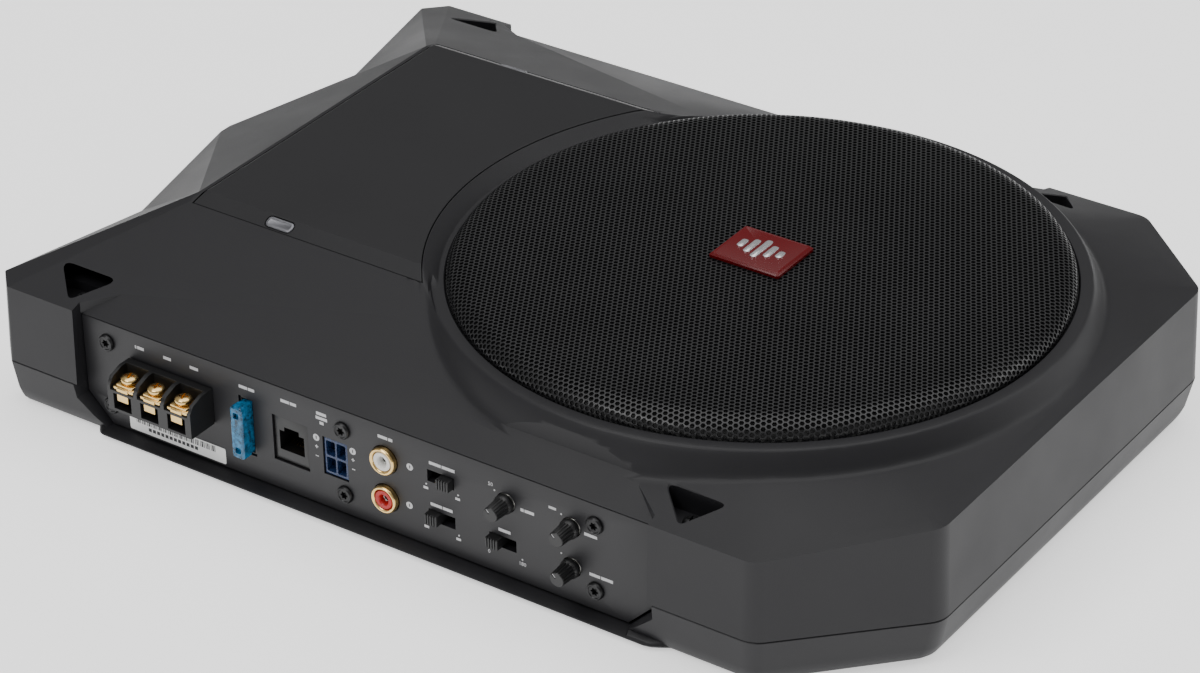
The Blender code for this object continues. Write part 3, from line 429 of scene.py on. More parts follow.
def lathe_mesh(profile, centre, axis="Z", steps=96, around=None):
    """A closed (radius, along) profile turned about an axis. around(step) scales each point that has a third
    value."""
    place = PLACE[axis]
    points, rings = [], []
    for radius, along, *ribbed in profile:
        turns = 1 if radius < TINY else steps
        rings.append([len(points) + i for i in range(turns)])
        for i in range(turns):
            turn = 2 * math.pi * i / steps
            r = radius * (around(i) if ribbed else 1.0)
            spot = place(r * math.cos(turn), r * math.sin(turn), along)
            points.append(tuple(c + s for c, s in zip(centre, spot)))
    faces = []
    for k, ring in enumerate(rings):
        after = rings[(k + 1) % len(rings)]
        if len(ring) == 1 and len(after) == 1:
            continue
        for i in range(steps):
            j = (i + 1) % steps
            corners = [ring[i % len(ring)], ring[j % len(ring)], after[j % len(after)], after[i % len(after)]]
            faces.append(tuple(dict.fromkeys(corners)))
    return mesh_from(points, faces)


def circle(radius, centre, steps):
    angles = [2 * math.pi * i / steps for i in range(steps)]
    return [(centre[0] + radius * math.cos(a), centre[1] + radius * math.sin(a)) for a in angles]


def rounded(corners, radius, steps=4):
    """An anticlockwise outline with its corners rounded. radius is one number, or one for each corner.
    Points may carry a third value, which is carried smoothly round each corner."""
    count = len(corners)
    radii = [radius] * count if isinstance(radius, (int, float)) else radius
    points = []
    for i in range(count):
        before, here, after = (Vector(corners[k % count]) for k in (i - 1, i, i + 1))
        if radii[i] <= 0:
            points.append(tuple(here))
            continue
        to_before, to_after = before - here, after - here
        first, second = to_before.to_2d(), to_after.to_2d()
        half = math.acos(max(-1.0, min(1.0, first.normalized().dot(second.normalized())))) / 2
        reach = min(radii[i] / math.tan(half), 0.49 * first.length, 0.49 * second.length)
        start = here + to_before * (reach / first.length)
        end = here + to_after * (reach / second.length)
        for k in range(steps + 1):
            t = k / steps
            weight = (1 - t) ** 2, 2 * t * (1 - t), t**2
            points.append(tuple(start * weight[0] + here * weight[1] + end * weight[2]))
    return points


def rectangle(low_x, high_x, low_y, high_y):
    return [(low_x, low_y), (high_x, low_y), (high_x, high_y), (low_x, high_y)]


def box_outline(at, size, less=0.0):
    """A rectangle round a point, made smaller by less on every side."""
    wide, high = size[0] - 2 * less, size[1] - 2 * less
    return rectangle(at[0] - wide / 2, at[0] + wide / 2, at[1] - high / 2, at[1] + high / 2)


def inset(outline, distance):
    """The outline moved inwards. The outline runs anticlockwise."""
    if abs(distance) < TINY:
        return [tuple(p[:2]) for p in outline]
    count = len(outline)
    moved = []
    for i in range(count):
        before, here, after = (Vector(outline[k % count][:2]) for k in (i - 1, i, i + 1))
        first = (here - before).normalized()
        second = (after - here).normalized()
        first_side = Vector((-first.y, first.x))
        second_side = Vector((-second.y, second.x))
        both = (first_side + second_side).normalized()
        moved.append(tuple(here + both * distance / max(both.dot(first_side), 0.3)))
    return moved


def raw(mesh, name="work"):
    made = bpy.data.objects.new(name, mesh)
    bpy.context.scene.collection.objects.link(made)
    return made


def evaluated(item):
    graph = bpy.context.evaluated_depsgraph_get()
    return bpy.data.meshes.new_from_object(item.evaluated_get(graph), depsgraph=graph)


def cut(mesh, *cutters, joined=None):
    """The mesh, with joined added to it, less each of the cutters."""
    target = raw(mesh)
    helpers = []
    steps = [("UNION", joined)] if joined else []
    for kind, other in steps + [("DIFFERENCE", each) for each in cutters]:
        helper = raw(other)
        helpers.append(helper)
        step = target.modifiers.new("step", "BOOLEAN")
        step.operation = kind
        step.solver = "EXACT"
        step.object = helper
    bpy.context.view_layer.update()
    made = evaluated(target)
    for each in [target, *helpers]:
        bpy.data.objects.remove(each)
    return made


def beveled(mesh, width, segments=3, angle=30, weights=False):
    """The mesh with its edges rounded, either the sharp ones or those that have a bevel weight."""
    target = raw(mesh)
    bevel = target.modifiers.new("bevel", "BEVEL")
    bevel.width = width
    bevel.segments = segments
    bevel.limit_method = "WEIGHT" if weights else "ANGLE"
    bevel.angle_limit = math.radians(angle)
    bevel.use_clamp_overlap = True
    bpy.context.view_layer.update()
    made = evaluated(target)
    bpy.data.objects.remove(target)
    return made


def turned(mesh, degrees, axis, at):
    """The mesh turned about one of its axes, then moved to its place."""
    mesh.transform(Matrix.Translation(at) @ Matrix.Rotation(math.radians(degrees), 4, axis))
    return mesh


def crossed(mesh, blade, turns, at):
    """A screw's head with a cross cut into it, by one blade at two turns."""
    return cut(mesh, *(turned(box_mesh(*blade), turn, "Z", at) for turn in turns))


def piece(name, mesh, paint, body, *stands_for, slot=None, smooth=35, weighted=False):
    """A finished piece of the object, in its place and riding on its body. The slot argument is not used."""
    mesh.transform(Matrix.Translation(SHIFT))
    mesh.shade_smooth()
    mesh.set_sharp_from_angle(angle=math.radians(smooth))
    made = raw(mesh, name)
    mesh.materials.clear()
    mesh.materials.append(paint)
    if weighted:
        normal = made.modifiers.new("normals", "WEIGHTED_NORMAL")
        normal.keep_sharp = True
    if body:
        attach(made, body)
    if stands_for:
        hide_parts(*stands_for)
    slot = slot or SLOTS.get(paint)
    return made


# Materials

RAMP_FROM, RAMP_TO = 0.3, 0.7
SLOW_SCALE = 28.0
GLOSS_DRIFT = 0.04
BRUSH_SCALE = 4200.0
BRUSH_STRETCH = 0.04
CLEAR_IOR = 1.5


def fill(tree, node, inputs):
    """Gives each input a value, or joins it to another node's output."""
    for name, value in inputs.items():
        if isinstance(value, bpy.types.NodeSocket):
            tree.links.new(value, node.inputs[name])
        else:
            node.inputs[name].default_value = value


def new_node(tree, kind, inputs):
    node = tree.nodes.new(kind)
    fill(tree, node, inputs)
    return node


def new_material(name):
    made = bpy.data.materials.new(name)
    made.use_nodes = True
    tree = made.node_tree
    return made, tree, tree.nodes["Principled BSDF"]


def own_place(tree):
    return tree.nodes.new("ShaderNodeTexCoord").outputs["Object"]


def noise(tree, scale, detail=3.0, roughness=0.55, place=None):
    inputs = {"Scale": scale, "Detail": detail, "Roughness": roughness, "Vector": place or own_place(tree)}
    return new_node(tree, "ShaderNodeTexNoise", inputs).outputs["Fac"]


def ramp(tree, source, low, high):
    """A change from one value or colour to another as source climbs through the middle of its range."""
    if isinstance(low, float):
        inputs = {"From Min": RAMP_FROM, "From Max": RAMP_TO, "To Min": low, "To Max": high, "Value": source}
        return new_node(tree, "ShaderNodeMapRange", inputs).outputs["Result"]
    node = new_node(tree, "ShaderNodeValToRGB", {"Fac": source})
    for element, at, colour in zip(node.color_ramp.elements, (RAMP_FROM, RAMP_TO), (low, high)):
        element.position = at
        element.color = (*colour, 1.0)
    return node.outputs["Color"]


def bump(tree, shader, source, strength, distance):
    inputs = {"Strength": strength, "Distance": distance, "Height": source}
    fill(tree, shader, {"Normal": new_node(tree, "ShaderNodeBump", inputs).outputs["Normal"]})


def scaled(colour, factor):
    return tuple(min(1.0, c * factor) for c in colour)


def textured(name, colour, roughness, grain, depth, mottle=0.12, metallic=0.0, specular=0.5):
    """A surface with a slow drift of colour and gloss, and a fine grain that is depth deep."""
    made, tree, shader = new_material(name)
    slow = noise(tree, SLOW_SCALE, 4.0)
    fill(tree, shader, {
        "Metallic": metallic,
        "Specular IOR Level": specular,
        "Base Color": ramp(tree, slow, scaled(colour, 1 - mottle), scaled(colour, 1 + mottle)),
        "Roughness": ramp(tree, slow, roughness - GLOSS_DRIFT, roughness + GLOSS_DRIFT),
    })
    if depth:
        bump(tree, shader, noise(tree, grain, 2.0), 0.6, depth)
    return made


def brushed(name, colour, roughness, along):
    """A metal with fine parallel drawing marks along one axis."""
    made, tree, shader = new_material(name)
    scale = [1.0, 1.0, 1.0]
    scale[along] = BRUSH_STRETCH
    stretched = new_node(tree, "ShaderNodeMapping", {"Vector": own_place(tree), "Scale": scale})
    marks = noise(tree, BRUSH_SCALE, 3.0, 0.5, stretched.outputs["Vector"])
    gloss = ramp(tree, marks, roughness - 0.08, roughness + 0.10)
    fill(tree, shader, {"Base Color": (*colour, 1.0), "Metallic": 1.0, "Roughness": gloss})
    bump(tree, shader, marks, 0.3, 0.00002)
    return made


def woven(name, colour, pitch):
    """Open woven cloth, stiffened with resin."""
    made, tree, shader = new_material(name)
    weave = tree.nodes.new("ShaderNodeMath")
    weave.operation = "MAXIMUM"
    for number, direction in enumerate("XY"):
        inputs = {"Scale": 1.0 / pitch / 3.2, "Distortion": 0.4, "Vector": own_place(tree)}
        wave = new_node(tree, "ShaderNodeTexWave", inputs)
        wave.bands_direction = direction
        tree.links.new(wave.outputs["Fac"], weave.inputs[number])
    height = weave.outputs["Value"]
    fill(tree, shader, {"Base Color": ramp(tree, height, scaled(colour, 0.6), colour), "Roughness": 0.85})
    bump(tree, shader, height, 0.6, 0.0002)
    return made


def clear_plastic(name, colour, roughness, share, grain, mottle_and_glint, depth):
    """A tinted translucent moulding, mottled at random, its lighter patches painted glints where light
    gathers in it.
    """
    made, tree, shader = new_material(name)
    fine = noise(tree, grain)
    fill(tree, shader, {
        # Base colour follows random noise: darker patches are mottle, and the lighter end of the ramp is a
        # painted glint.
        "Base Color": ramp(tree, fine, scaled(colour, 1 - mottle_and_glint), scaled(colour, 1 + 2 * mottle_and_glint)),
        "Roughness": roughness,
        "Transmission Weight": share,
        "IOR": CLEAR_IOR,
    })
    bump(tree, shader, fine, 0.4, depth)
    return made


CASE = textured("case_plastic", (0.0118, 0.0115, 0.0134), 0.48, 2300.0, 0.00006, 0.05, specular=0.35)
PLATE = textured("plate_plastic", (0.0105, 0.0103, 0.0118), 0.44, 3800.0, 0.00003, 0.05, specular=0.35)
PANEL = textured("panel_plastic", (0.0112, 0.0109, 0.0128), 0.48, 3000.0, 0.00004, 0.06)
BLACK = textured("moulded_black", (0.0085, 0.0085, 0.0090), 0.40, 4000.0, 0.00002, 0.10)
SOCKET_BLACK = textured("socket_black", (0.0060, 0.0060, 0.0065), 0.32, 5000.0, 0.00001, 0.10)
RUBBER = textured("foot_rubber", (0.014, 0.014, 0.014), 0.82, 1800.0, 0.00008, 0.15)
GRILLE = textured("powder_coated_steel", (0.0105, 0.0105, 0.0115), 0.34, 3600.0, 0.00003, 0.10)
SILVER = brushed("satin_metal", (0.20, 0.20, 0.215), 0.42, 0)
EMBLEM = brushed("bright_metal", (0.80, 0.80, 0.82), 0.25, 1)
GOLD = textured("gold_plating", (0.83, 0.58, 0.24), 0.22, 1500.0, 0.00002, 0.10, 1.0)
BADGE = textured("red_enamel", (0.115, 0.0012, 0.003), 0.22, 1400.0, 0.00001, 0.10, specular=0.30)
SCREW = textured("black_oxide", (0.016, 0.016, 0.017), 0.34, 1800.0, 0.00004, 0.2, 0.4)
WHITE = textured("white_plastic", (0.74, 0.73, 0.70), 0.35, 2500.0, 0.00001, 0.03)
RED = textured("red_plastic", (0.42, 0.012, 0.010), 0.35, 2500.0, 0.00001, 0.06)
PRINT = textured("white_print", (0.55, 0.55, 0.56), 0.55, 4000.0, 0.0, 0.05)
STICKER = textured("sticker_paper", (0.80, 0.80, 0.79), 0.5, 1200.0, 0.00001, 0.03)
INK = textured("sticker_ink", (0.02, 0.02, 0.022), 0.5, 1200.0, 0.0, 0.05)
PAPER = textured("cone_pulp", (0.020, 0.020, 0.021), 0.75, 900.0, 0.00012, 0.25)
STEEL = textured("painted_steel", (0.020, 0.020, 0.021), 0.45, 1500.0, 0.00005, metallic=0.3)
COPPER = brushed("copper_wire", (0.62, 0.27, 0.12), 0.35, 0)
FERRITE = textured("ferrite", (0.045, 0.045, 0.048), 0.60, 1200.0, 0.00008, 0.2)
ZINC = textured("zinc_plate", (0.48, 0.48, 0.45), 0.35, 600.0, 0.00002, 0.15, 1.0)
BOARD = textured("solder_mask", (0.010, 0.085, 0.040), 0.40, 700.0, 0.00003, 0.25)
ALUMINIUM = brushed("extruded_aluminium", (0.62, 0.62, 0.64), 0.40, 1)
CLOTH = woven("spider_cloth", (0.42, 0.29, 0.10), 0.0006)
FUSE_BLUE = clear_plastic("fuse_blue", (0.012, 0.150, 0.300), 0.10, 0.45, 620.0, 0.75, 0.00022)
SMOKE = clear_plastic("smoke_blue", (0.020, 0.045, 0.13), 0.22, 0.35, 900.0, 0.2, 0.00002)

# Paints that a later user may change, and the names of their slots
SLOTS = {
    CASE: "charcoal_plastic",
    PLATE: "smooth_black_plastic",
    PANEL: "smooth_black_plastic",
    BLACK: "black_plastic",
    SOCKET_BLACK: "black_plastic",
    RUBBER: "black_rubber",
    GRILLE: "black_steel",
    SILVER: "satin_silver",
    GOLD: "gold_plate",
    BADGE: "red_enamel",
    SCREW: "black_screw",
    WHITE: "white_plastic",
    RED: "red_plastic",
    ZINC: "zinc_plate",
    CLOTH: "spider_cloth",
    FUSE_BLUE: "clear_blue",
    SMOKE: "smoke_blue",
}


# Case outline and top


def case_corners():
    """The top edge of the case wall, anticlockwise from the front left: its corners and their radii."""
    x, y = HALF_X, HALF_Y
    front = [
        ((-x, -y + SMALL_CUT, Z_EDGE), SMALL_ROUND),
        ((-x + SMALL_CUT, -y, Z_EDGE), SMALL_ROUND),
        ((x - CORNER_CUT, -y, Z_EDGE), SIDE_ROUND),
        ((x, -y + CORNER_CUT, Z_SIDE), SIDE_ROUND),
    ]
    back = [((p[0], -p[1], p[2]), r) for p, r in reversed(front)]
    left = [
        ((-x + WAIST_INSET, WAIST_Y, Z_EDGE), WAIST_ROUND),
        ((-x, APEX_HALF, Z_APEX), APEX_ROUND),
        ((-x, -APEX_HALF, Z_APEX), APEX_ROUND),
        ((-x + WAIST_INSET, -WAIST_Y, Z_EDGE), WAIST_ROUND),
    ]
    return front + back + left


def case_ring(distance):
    """The case's outline moved inwards, with its corners rounded."""
    corners = case_corners()
    sharp = inset([p for p, _ in corners], distance)
    return rounded(sharp, [r for _, r in corners], CASE_ROUND_STEPS)


def smooth_max(a, b, k):
    return max(a, b) + k / 4 * max(0.0, 1 - abs(a - b) / k) ** 2


def smooth_min(a, b, k):
    return -smooth_max(-a, -b, k)


def slope_height(y):
    return Z_EDGE + (HALF_Y - abs(y)) * FLANGE_SLOPE


def hit_outline(outline, angle):
    """Where a ray from the ring's centre leaves the case: its distance and the edge's height there."""
    way = Vector((math.cos(angle), math.sin(angle)))
    best = None
    for i in range(len(outline)):
        a, b = Vector(outline[i]), Vector(outline[(i + 1) % len(outline)])
        start = a.to_2d() - Vector((RING_X, 0))
        along = (b - a).to_2d()
        cross = way.x * along.y - way.y * along.x
        if abs(cross) < PARALLEL:
            continue
        distance = (start.x * along.y - start.y * along.x) / cross
        share = (start.x * way.y - start.y * way.x) / cross
        if distance > 0 and -1e-9 <= share <= 1 + 1e-9 and (best is None or distance > best[0]):
            best = (distance, a.z + (b.z - a.z) * share)
    return best


def ground(outline, angle, r):
    """The case's surface round the ring, before the ring's own wall is added."""
    y = r * math.sin(angle)
    if math.cos(angle) < 0:
        return min(slope_height(y), Z_GROOVE) if abs(y) < HALF_Y else Z_EDGE
    foot = smooth_min(slope_height(RING_FOOT_R * math.sin(angle)), Z_FOOT, FOOT_BLEND)
    reach, edge = hit_outline(outline, angle)
    return foot + (edge - foot) * (r - RING_FOOT_R) / (reach - RING_FOOT_R)


def ring_height(outline, angle, r):
    """The collar, which climbs to the cover plate in a cone where the plate's arc runs round it."""
    height = collar_height(outline, angle, r)
    if math.cos(angle) > 0 or r > PLATE_ARC_R + GAP:
        return height
    inside = GROOVE_Y - abs(PLATE_ARC_R * math.sin(angle))
    share = min(1.0, max(0.0, inside / (GROOVE_Y - PLATE_HALF_Y)))
    climb = max(0.0, r - CONE_R) * (Z_PLATE - Z_LIP) / (PLATE_ARC_R - CONE_R)
    cone = min(Z_PLATE - GAP, Z_LIP + climb)
    return height + max(0.0, cone - height) * share * share * (3 - 2 * share)


def collar_height(outline, angle, r):
    """The collar's flat lip, its wall and the concave foot that meets the case."""
    beyond = r - LIP_EDGE_R
    if beyond <= 0:
        return Z_LIP - (0.0 if r < LIP_EDGE_R - LIP_STEP[0] else LIP_STEP[1])
    wall = Z_LIP - COLLAR_SLOPE * beyond - COLLAR_CURVE * beyond**2
    base = ground(outline, angle, r)
    height = smooth_max(base, wall, COLLAR_BLEND)
    return min(height, Z_LIP + beyond * 1.2) if base > Z_LIP - 0.002 else height


def top_points(outline):
    """The points and feature lines of the top surface."""
    points = [tuple(p) for p in outline]
    lines = [(i, (i + 1) % len(points)) for i in range(len(points))]

    def add(x, y, z):
        points.append((x, y, z))
        return len(points) - 1

    def nearest(x, y):
        return min(range(len(outline)), key=lambda k: (Vector(outline[k][:2]) - Vector((x, y))).length)

    left = PLATE_LEFT - RIM_SETBACK
    groove_angle = math.pi - math.asin(GROOVE_Y / RING_OUT_R)
    creases = []
    peaks = []
    for side in (-1, 1):
        peak = add(left, side * PLATE_HALF_Y, Z_RIM)
        start = add(left, side * GROOVE_Y, Z_GROOVE)
        peaks.append(peak)
        corner = nearest(-HALF_X, side * (HALF_Y - SMALL_CUT))
        chamfer = nearest(-HALF_X + SMALL_CUT, side * HALF_Y)
        waist = nearest(-HALF_X + WAIST_INSET, side * WAIST_Y)
        apex = nearest(-HALF_X, side * APEX_HALF)
        for end in (corner, waist, apex):
            creases.append((peak, end))
        creases += [(start, corner), (start, chamfer), (peak, start)]
        end = add(RING_X + RING_OUT_R * math.cos(groove_angle), side * GROOVE_Y, Z_GROOVE)
        lines.append((start, end))
    creases.append(tuple(peaks))
    lines += creases
    for r in RING_ROWS:
        loop = []
        for i in range(RING_TURNS):
            angle = 2 * math.pi * i / RING_TURNS
            x, y = RING_X + r * math.cos(angle), r * math.sin(angle)
            loop.append(add(x, y, ring_height(outline, angle, r)))
        lines += list(zip(loop, loop[1:] + loop[:1]))
    for i in range(RING_TURNS):
        angle = 2 * math.pi * i / RING_TURNS
        if math.cos(angle) < RING_OPEN:
            continue
        reach, _ = hit_outline(outline, angle)
        rows = int((reach - RING_OUT_R) / SIDE_ROW)
        for k in range(1, rows):
            r = RING_OUT_R + (reach - RING_OUT_R) * k / rows
            x, y = RING_X + r * math.cos(angle), r * math.sin(angle)
            add(x, y, ground(outline, angle, r))
    return points, lines


def case_solid(outline, low):
    """The whole case above the parting line, closed underneath, its rim and creases weighted for rounding."""
    points, lines = top_points(outline)
    flat = [Vector(p[:2]) for p in points]
    rim = list(range(len(outline)))
    made, _, faces, origins, _, _ = delaunay_2d_cdt(flat, lines, [rim], 1, TINY)
    top = [(p.x, p.y, points[o[0]][2]) for p, o in zip(made, origins)]
    slot_of = {o: k for k, group in enumerate(origins) for o in group}
    base = len(top)
    count = len(outline)
    skirt = inset(outline, -DRAFT)
    top += [(*p, low) for p in skirt]
    faces = [tuple(f) for f in faces]
    for i in range(count):
        j = (i + 1) % count
        faces.append((slot_of[i], slot_of[j], base + j, base + i))
    faces.append(tuple(base + i for i in range(count)))
    mesh = mesh_from(top, faces)
    form = bmesh.new()
    form.from_mesh(mesh)
    axis = Vector((RING_X, 0))
    flats = [e for e in form.edges if all(f.normal.z > TOP_FACING for f in e.link_faces)]
    outside = [v for v in form.verts if (v.co.to_2d() - axis).length > RING_OUT_R + 0.0002]
    chosen = set(outside)
    loose = [e for e in flats if e.verts[0] in chosen and e.verts[1] in chosen]
    bmesh.ops.dissolve_limit(form, angle_limit=math.radians(FLAT_ANGLE), verts=outside, edges=loose)
    weight = form.edges.layers.float.new("bevel_weight_edge")
    for edge in form.edges:
        if len(edge.link_faces) != 2:
            continue
        up = [f.normal.z > TOP_FACING for f in edge.link_faces]
        underside = any(f.normal.z < -0.9 for f in edge.link_faces)
        far = min((v.co.to_2d() - axis).length for v in edge.verts)
        if up[0] != up[1] and not underside:
            edge[weight] = 1.0
        elif all(up) and far > CREASE_FROM_R and edge.calc_face_angle(0) > math.radians(CREASE_ANGLE):
            edge[weight] = CREASE_R / RIM_R
    form.to_mesh(mesh)
    form.free()
    return beveled(mesh, RIM_R, 4, weights=True)


def recess_mesh(depth, side=-1):
    """The space at the connector panel: its opening, the step above it and the facet with slanted ends."""
    left, right = PANEL_LEFT - GAP, PANEL_RIGHT + GAP
    low, step_y, top = 0.0, PANEL_FACE_Y, PANEL_TOP + GAP
    rise = (slope_height(FACET_Y) - PANEL_TOP - GAP) / (FACET_Y - PANEL_FACE_Y)
    reach = (FACET_Y - PANEL_FACE_Y) * FACET_OVERRUN
    slant = FACET_INSET * FACET_OVERRUN
    front, high = -HALF_Y - RECESS_PAST[0], RECESS_PAST[1]
    profile = [(front, low), (depth, low), (depth, top), (step_y, top), (step_y, high), (front, high)]
    ridge = [(step_y + reach, top + rise * reach), (step_y + reach, high)]
    points = [(left, y, z) for y, z in profile] + [(right, y, z) for y, z in profile]
    points += [(left + slant, y, z) for y, z in ridge] + [(right - slant, y, z) for y, z in ridge]
    points = [(x, -side * y, z) for x, y, z in points]
    faces = [(0, 1, 2, 3, 4, 5), (6, 7, 8, 9, 10, 11)]
    faces += [(i, i + 1, i + 7, i + 6) for i in (0, 1, 2, 4)] + [(5, 0, 6, 11)]
    faces += [(3, 12, 13, 4), (9, 14, 15, 10), (3, 9, 14, 12), (12, 14, 15, 13), (4, 13, 15, 10)]
    return mesh_from(points, faces)


def pocket_outline(side_x, side_y, grow=0.0):
    """A triangular pocket's outline, anticlockwise, with rounded corners."""
    shift = POCKET_SHIFT if side_x > 0 else 0.0
    left, right, tip = (x + shift for x in POCKET_X)
    corners = [(left, POCKET_Y[0]), (tip, POCKET_Y[1]), (right, POCKET_Y[0])]
    if side_y > 0:
        corners = [(x, -y) for x, y in reversed(corners)]
    return inset(rounded(corners, POCKET_ROUND, 4), -grow)


def pocket_cutter(side_x, side_y):
    """The pocket's hole: flat floor, straight walls and a fine chamfer where they meet the sloping top."""
    rings = []
    wide, deep = POCKET_CHAMFER
    for grow, rise in ((0.0, None), (0.0, -deep), (wide, 0.0), (wide, 0.004)):
        ring = []
        for x, y in pocket_outline(side_x, side_y, grow):
            ring.append((x, y, Z_POCKET_FLOOR if rise is None else slope_height(y) + rise))
        rings.append(ring)
    return loft_mesh(rings)


def cover_outline(grow):
    """The cover plate's outline at its foot: a rectangle whose right end is an arc round the driver."""
    half = GROOVE_Y - GAP + grow
    radius = PLATE_ARC_R - grow
    end = math.asin(half / radius)
    steps = PLATE_ARC_STEPS
    arc = []
    for i in range(steps + 1):
        angle = end * (1 - 2 * i / steps)
        y = math.copysign(half, 1 - i) if i in (0, steps) else radius * math.sin(angle)
        arc.append((RING_X - radius * math.cos(angle), y))
    return [(PLATE_LEFT - grow, half), (PLATE_LEFT - grow, -half), *reversed(arc)]


def case_cavity():
    """The space inside the top housing, less the walls that stand in it."""
    cavity = prism_mesh(case_ring(WALL), Z_PARTING - 0.004, Z_CEILING)
    left, right, over = PANEL_LEFT - INNER_WALL, PANEL_RIGHT + INNER_WALL, Z_CEILING + PAST
    keep = []
    for corner in CORNERS:
        boss = pocket_outline(*corner, POCKET_WALL)
        keep.append(prism_mesh(boss, Z_POCKET_FLOOR - 0.0024, over))
    keep.append(box_mesh((left, -PAST_Y, PANEL_TOP - 0.0022), (right, PANEL_FACE_Y + 0.0030, over)))
    keep.append(box_mesh((left, -PANEL_FACE_Y - WALL, 0), (right, PAST_Y, over)))
    keep.append(box_mesh((left, -PAST_Y, 0), (PANEL_LEFT + CHEEK, CHEEK_BACK_Y, over)))
    keep.append(box_mesh((PANEL_RIGHT - CHEEK, -PAST_Y, 0), (right, CHEEK_BACK_Y, over)))
    return cut(cavity, *keep)


def top_housing():
    corners = case_corners()
    outline = rounded([p for p, _ in corners], [r for _, r in corners], CASE_ROUND_STEPS)
    ledge, edge = Z_LEDGE + LEDGE, WELL_R + WELL_CHAMFER
    bore = [(0, 0), (THROAT_R, 0), (THROAT_R, ledge), (WELL_R, ledge), (WELL_R, Z_LIP - WELL_CHAMFER)]
    bore += [(edge, Z_LIP), (edge, PAST_Z), (0, PAST_Z)]
    cutters = [case_cavity(), lathe_mesh(bore, (RING_X, 0, 0), steps=RING_TURNS)]
    cutters.append(prism_mesh(cover_outline(GAP), Z_POCKET, PAST_Z))
    cutters += [recess_mesh(PANEL_FACE_Y + RECESS_DEPTH), recess_mesh(PANEL_FACE_Y - GAP, side=1)]
    cutters += [pocket_cutter(*corner) for corner in CORNERS]
    mesh = cut(case_solid(outline, Z_PARTING + GAP), *cutters)
    piece("top_housing_skin", mesh, CASE, "case", "top_housing", smooth=28, weighted=True)


def base_rings():
    """Levels of the base, from the parting line to where it stands. Its right side draws in most."""
    rings = []
    for draw, z in ((GAP, Z_PARTING), (0.0, Z_PARTING - GAP), *BASE_LEVELS):
        ring = []
        for x, y in case_ring(draw - DRAFT):
            right = max(0.0, (x - RIGHT_DRAW_FROM) / (HALF_X - RIGHT_DRAW_FROM))
            left = max(0.0, (LEFT_DRAW_FROM - x) / (HALF_X + LEFT_DRAW_FROM))
            ring.append((x - min(1.0, right) * draw * RIGHT_DRAW - min(1.0, left) * draw * LEFT_DRAW, y, z))
        rings.append(ring)
    return rings


def panel_outline(grow, height=0.0):
    """The panel's outline with its two lower corners cut off, as (x, z)."""
    left, right = PANEL_LEFT - grow, PANEL_RIGHT + grow
    low, high = PANEL_BOTTOM - grow, PANEL_TOP + grow + height
    cut = low + PANEL_CUT
    lower = [(left, cut), (left + PANEL_CUT, low), (right - PANEL_CUT, low), (right, cut)]
    return [(left, high), *lower, (right, high)]


def sill_mesh():
    """The band under the connector panel, whose front fades into the blocks beside it."""
    front, high, low = -HALF_Y - DRAFT, PANEL_BOTTOM - SILL_GAP, Z_BASE
    left, right = PANEL_LEFT + PANEL_CUT - SILL_PAST[0], PANEL_RIGHT - PANEL_CUT + SILL_PAST[1]
    places = [(left + SILL_FADE[0] * t, 1 - t) for t in SILL_STEPS]
    places += [(right - SILL_FADE[1] * t, 1 - t) for t in reversed(SILL_STEPS)]
    rings = []
    for x, away in places:
        y = front + SILL_SETBACK * away * away * (3 - 2 * away)
        ring = [(front + SILL_DEPTH, high)]
        ring += [(y + 0.0028, high), (y + 0.0014, high - 0.0005), (y + 0.0007, high - 0.0010)]
        ring += [(y + 0.0003, high - 0.0017), (y + 0.0006, low + 0.0006), (y + 0.0012, low)]
        ring.append((front + SILL_DEPTH, low))
        rings.append([(x, b, c) for b, c in ring])
    return loft_mesh(rings)


def notch_mesh():
    """The panel's opening in the base, flared towards the front."""
    rings = []
    front = -HALF_Y - 0.0012
    levels = ((CHEEK_BACK_Y, 0.0), (PANEL_FACE_Y - 0.0006, 0.0), (front, NOTCH_FLARE), (-PAST_Y, NOTCH_FLARE))
    for y, grow in levels:
        rings.append([(x, y, z) for x, z in panel_outline(SILL_GAP + grow, NOTCH_HIGH)])
    return loft_mesh(rings)


def bottom_shell():
    left, right = PANEL_LEFT - INNER_WALL, PANEL_RIGHT + INNER_WALL
    hollow = cut(
        prism_mesh(case_ring(WALL + 0.0018), Z_BASE + WALL, NOTCH_HIGH),
        box_mesh((left, -PAST_Y, -PAST), (right, HOLLOW_Y[0], 0.05)),
        box_mesh((left, HOLLOW_Y[1], -PAST), (right, PAST_Y, 0.05)),
    )
    back_notch = prism_mesh(panel_outline(GAP, NOTCH_HIGH), -PANEL_FACE_Y + GAP, PAST_Y, "Y")
    seats = [prism_mesh(circle(FOOT_R + GAP, at, 48), -PAST, FOOT_SEAT) for at in FEET]
    mesh = cut(loft_mesh(base_rings()), hollow, notch_mesh(), back_notch, *seats, joined=sill_mesh())
    piece("bottom_shell_skin", mesh, CASE, "case", "bottom_shell", smooth=30, weighted=True)


def feet():
    top, edge, dish = FOOT_SEAT - GAP, FOOT_EDGE, FOOT_DISH
    turns = [math.radians(90 * i / 4) for i in range(5)]
    profile = [(0, 0), (FOOT_R * 0.55, 0), (FOOT_R * 0.60, dish), (FOOT_R * 0.66, dish), (FOOT_R * 0.71, 0)]
    profile += [(FOOT_R - edge + edge * math.sin(a), edge - edge * math.cos(a)) for a in turns]
    profile += [(FOOT_R, top), (0, top)]
    for number, (x, y) in enumerate(FEET, 1):
        name = f"rubber_foot_{number}"
        piece(name + "_pad", lathe_mesh(profile, (x, y, 0), steps=48), RUBBER, "case", name)


# Cover plate and pills


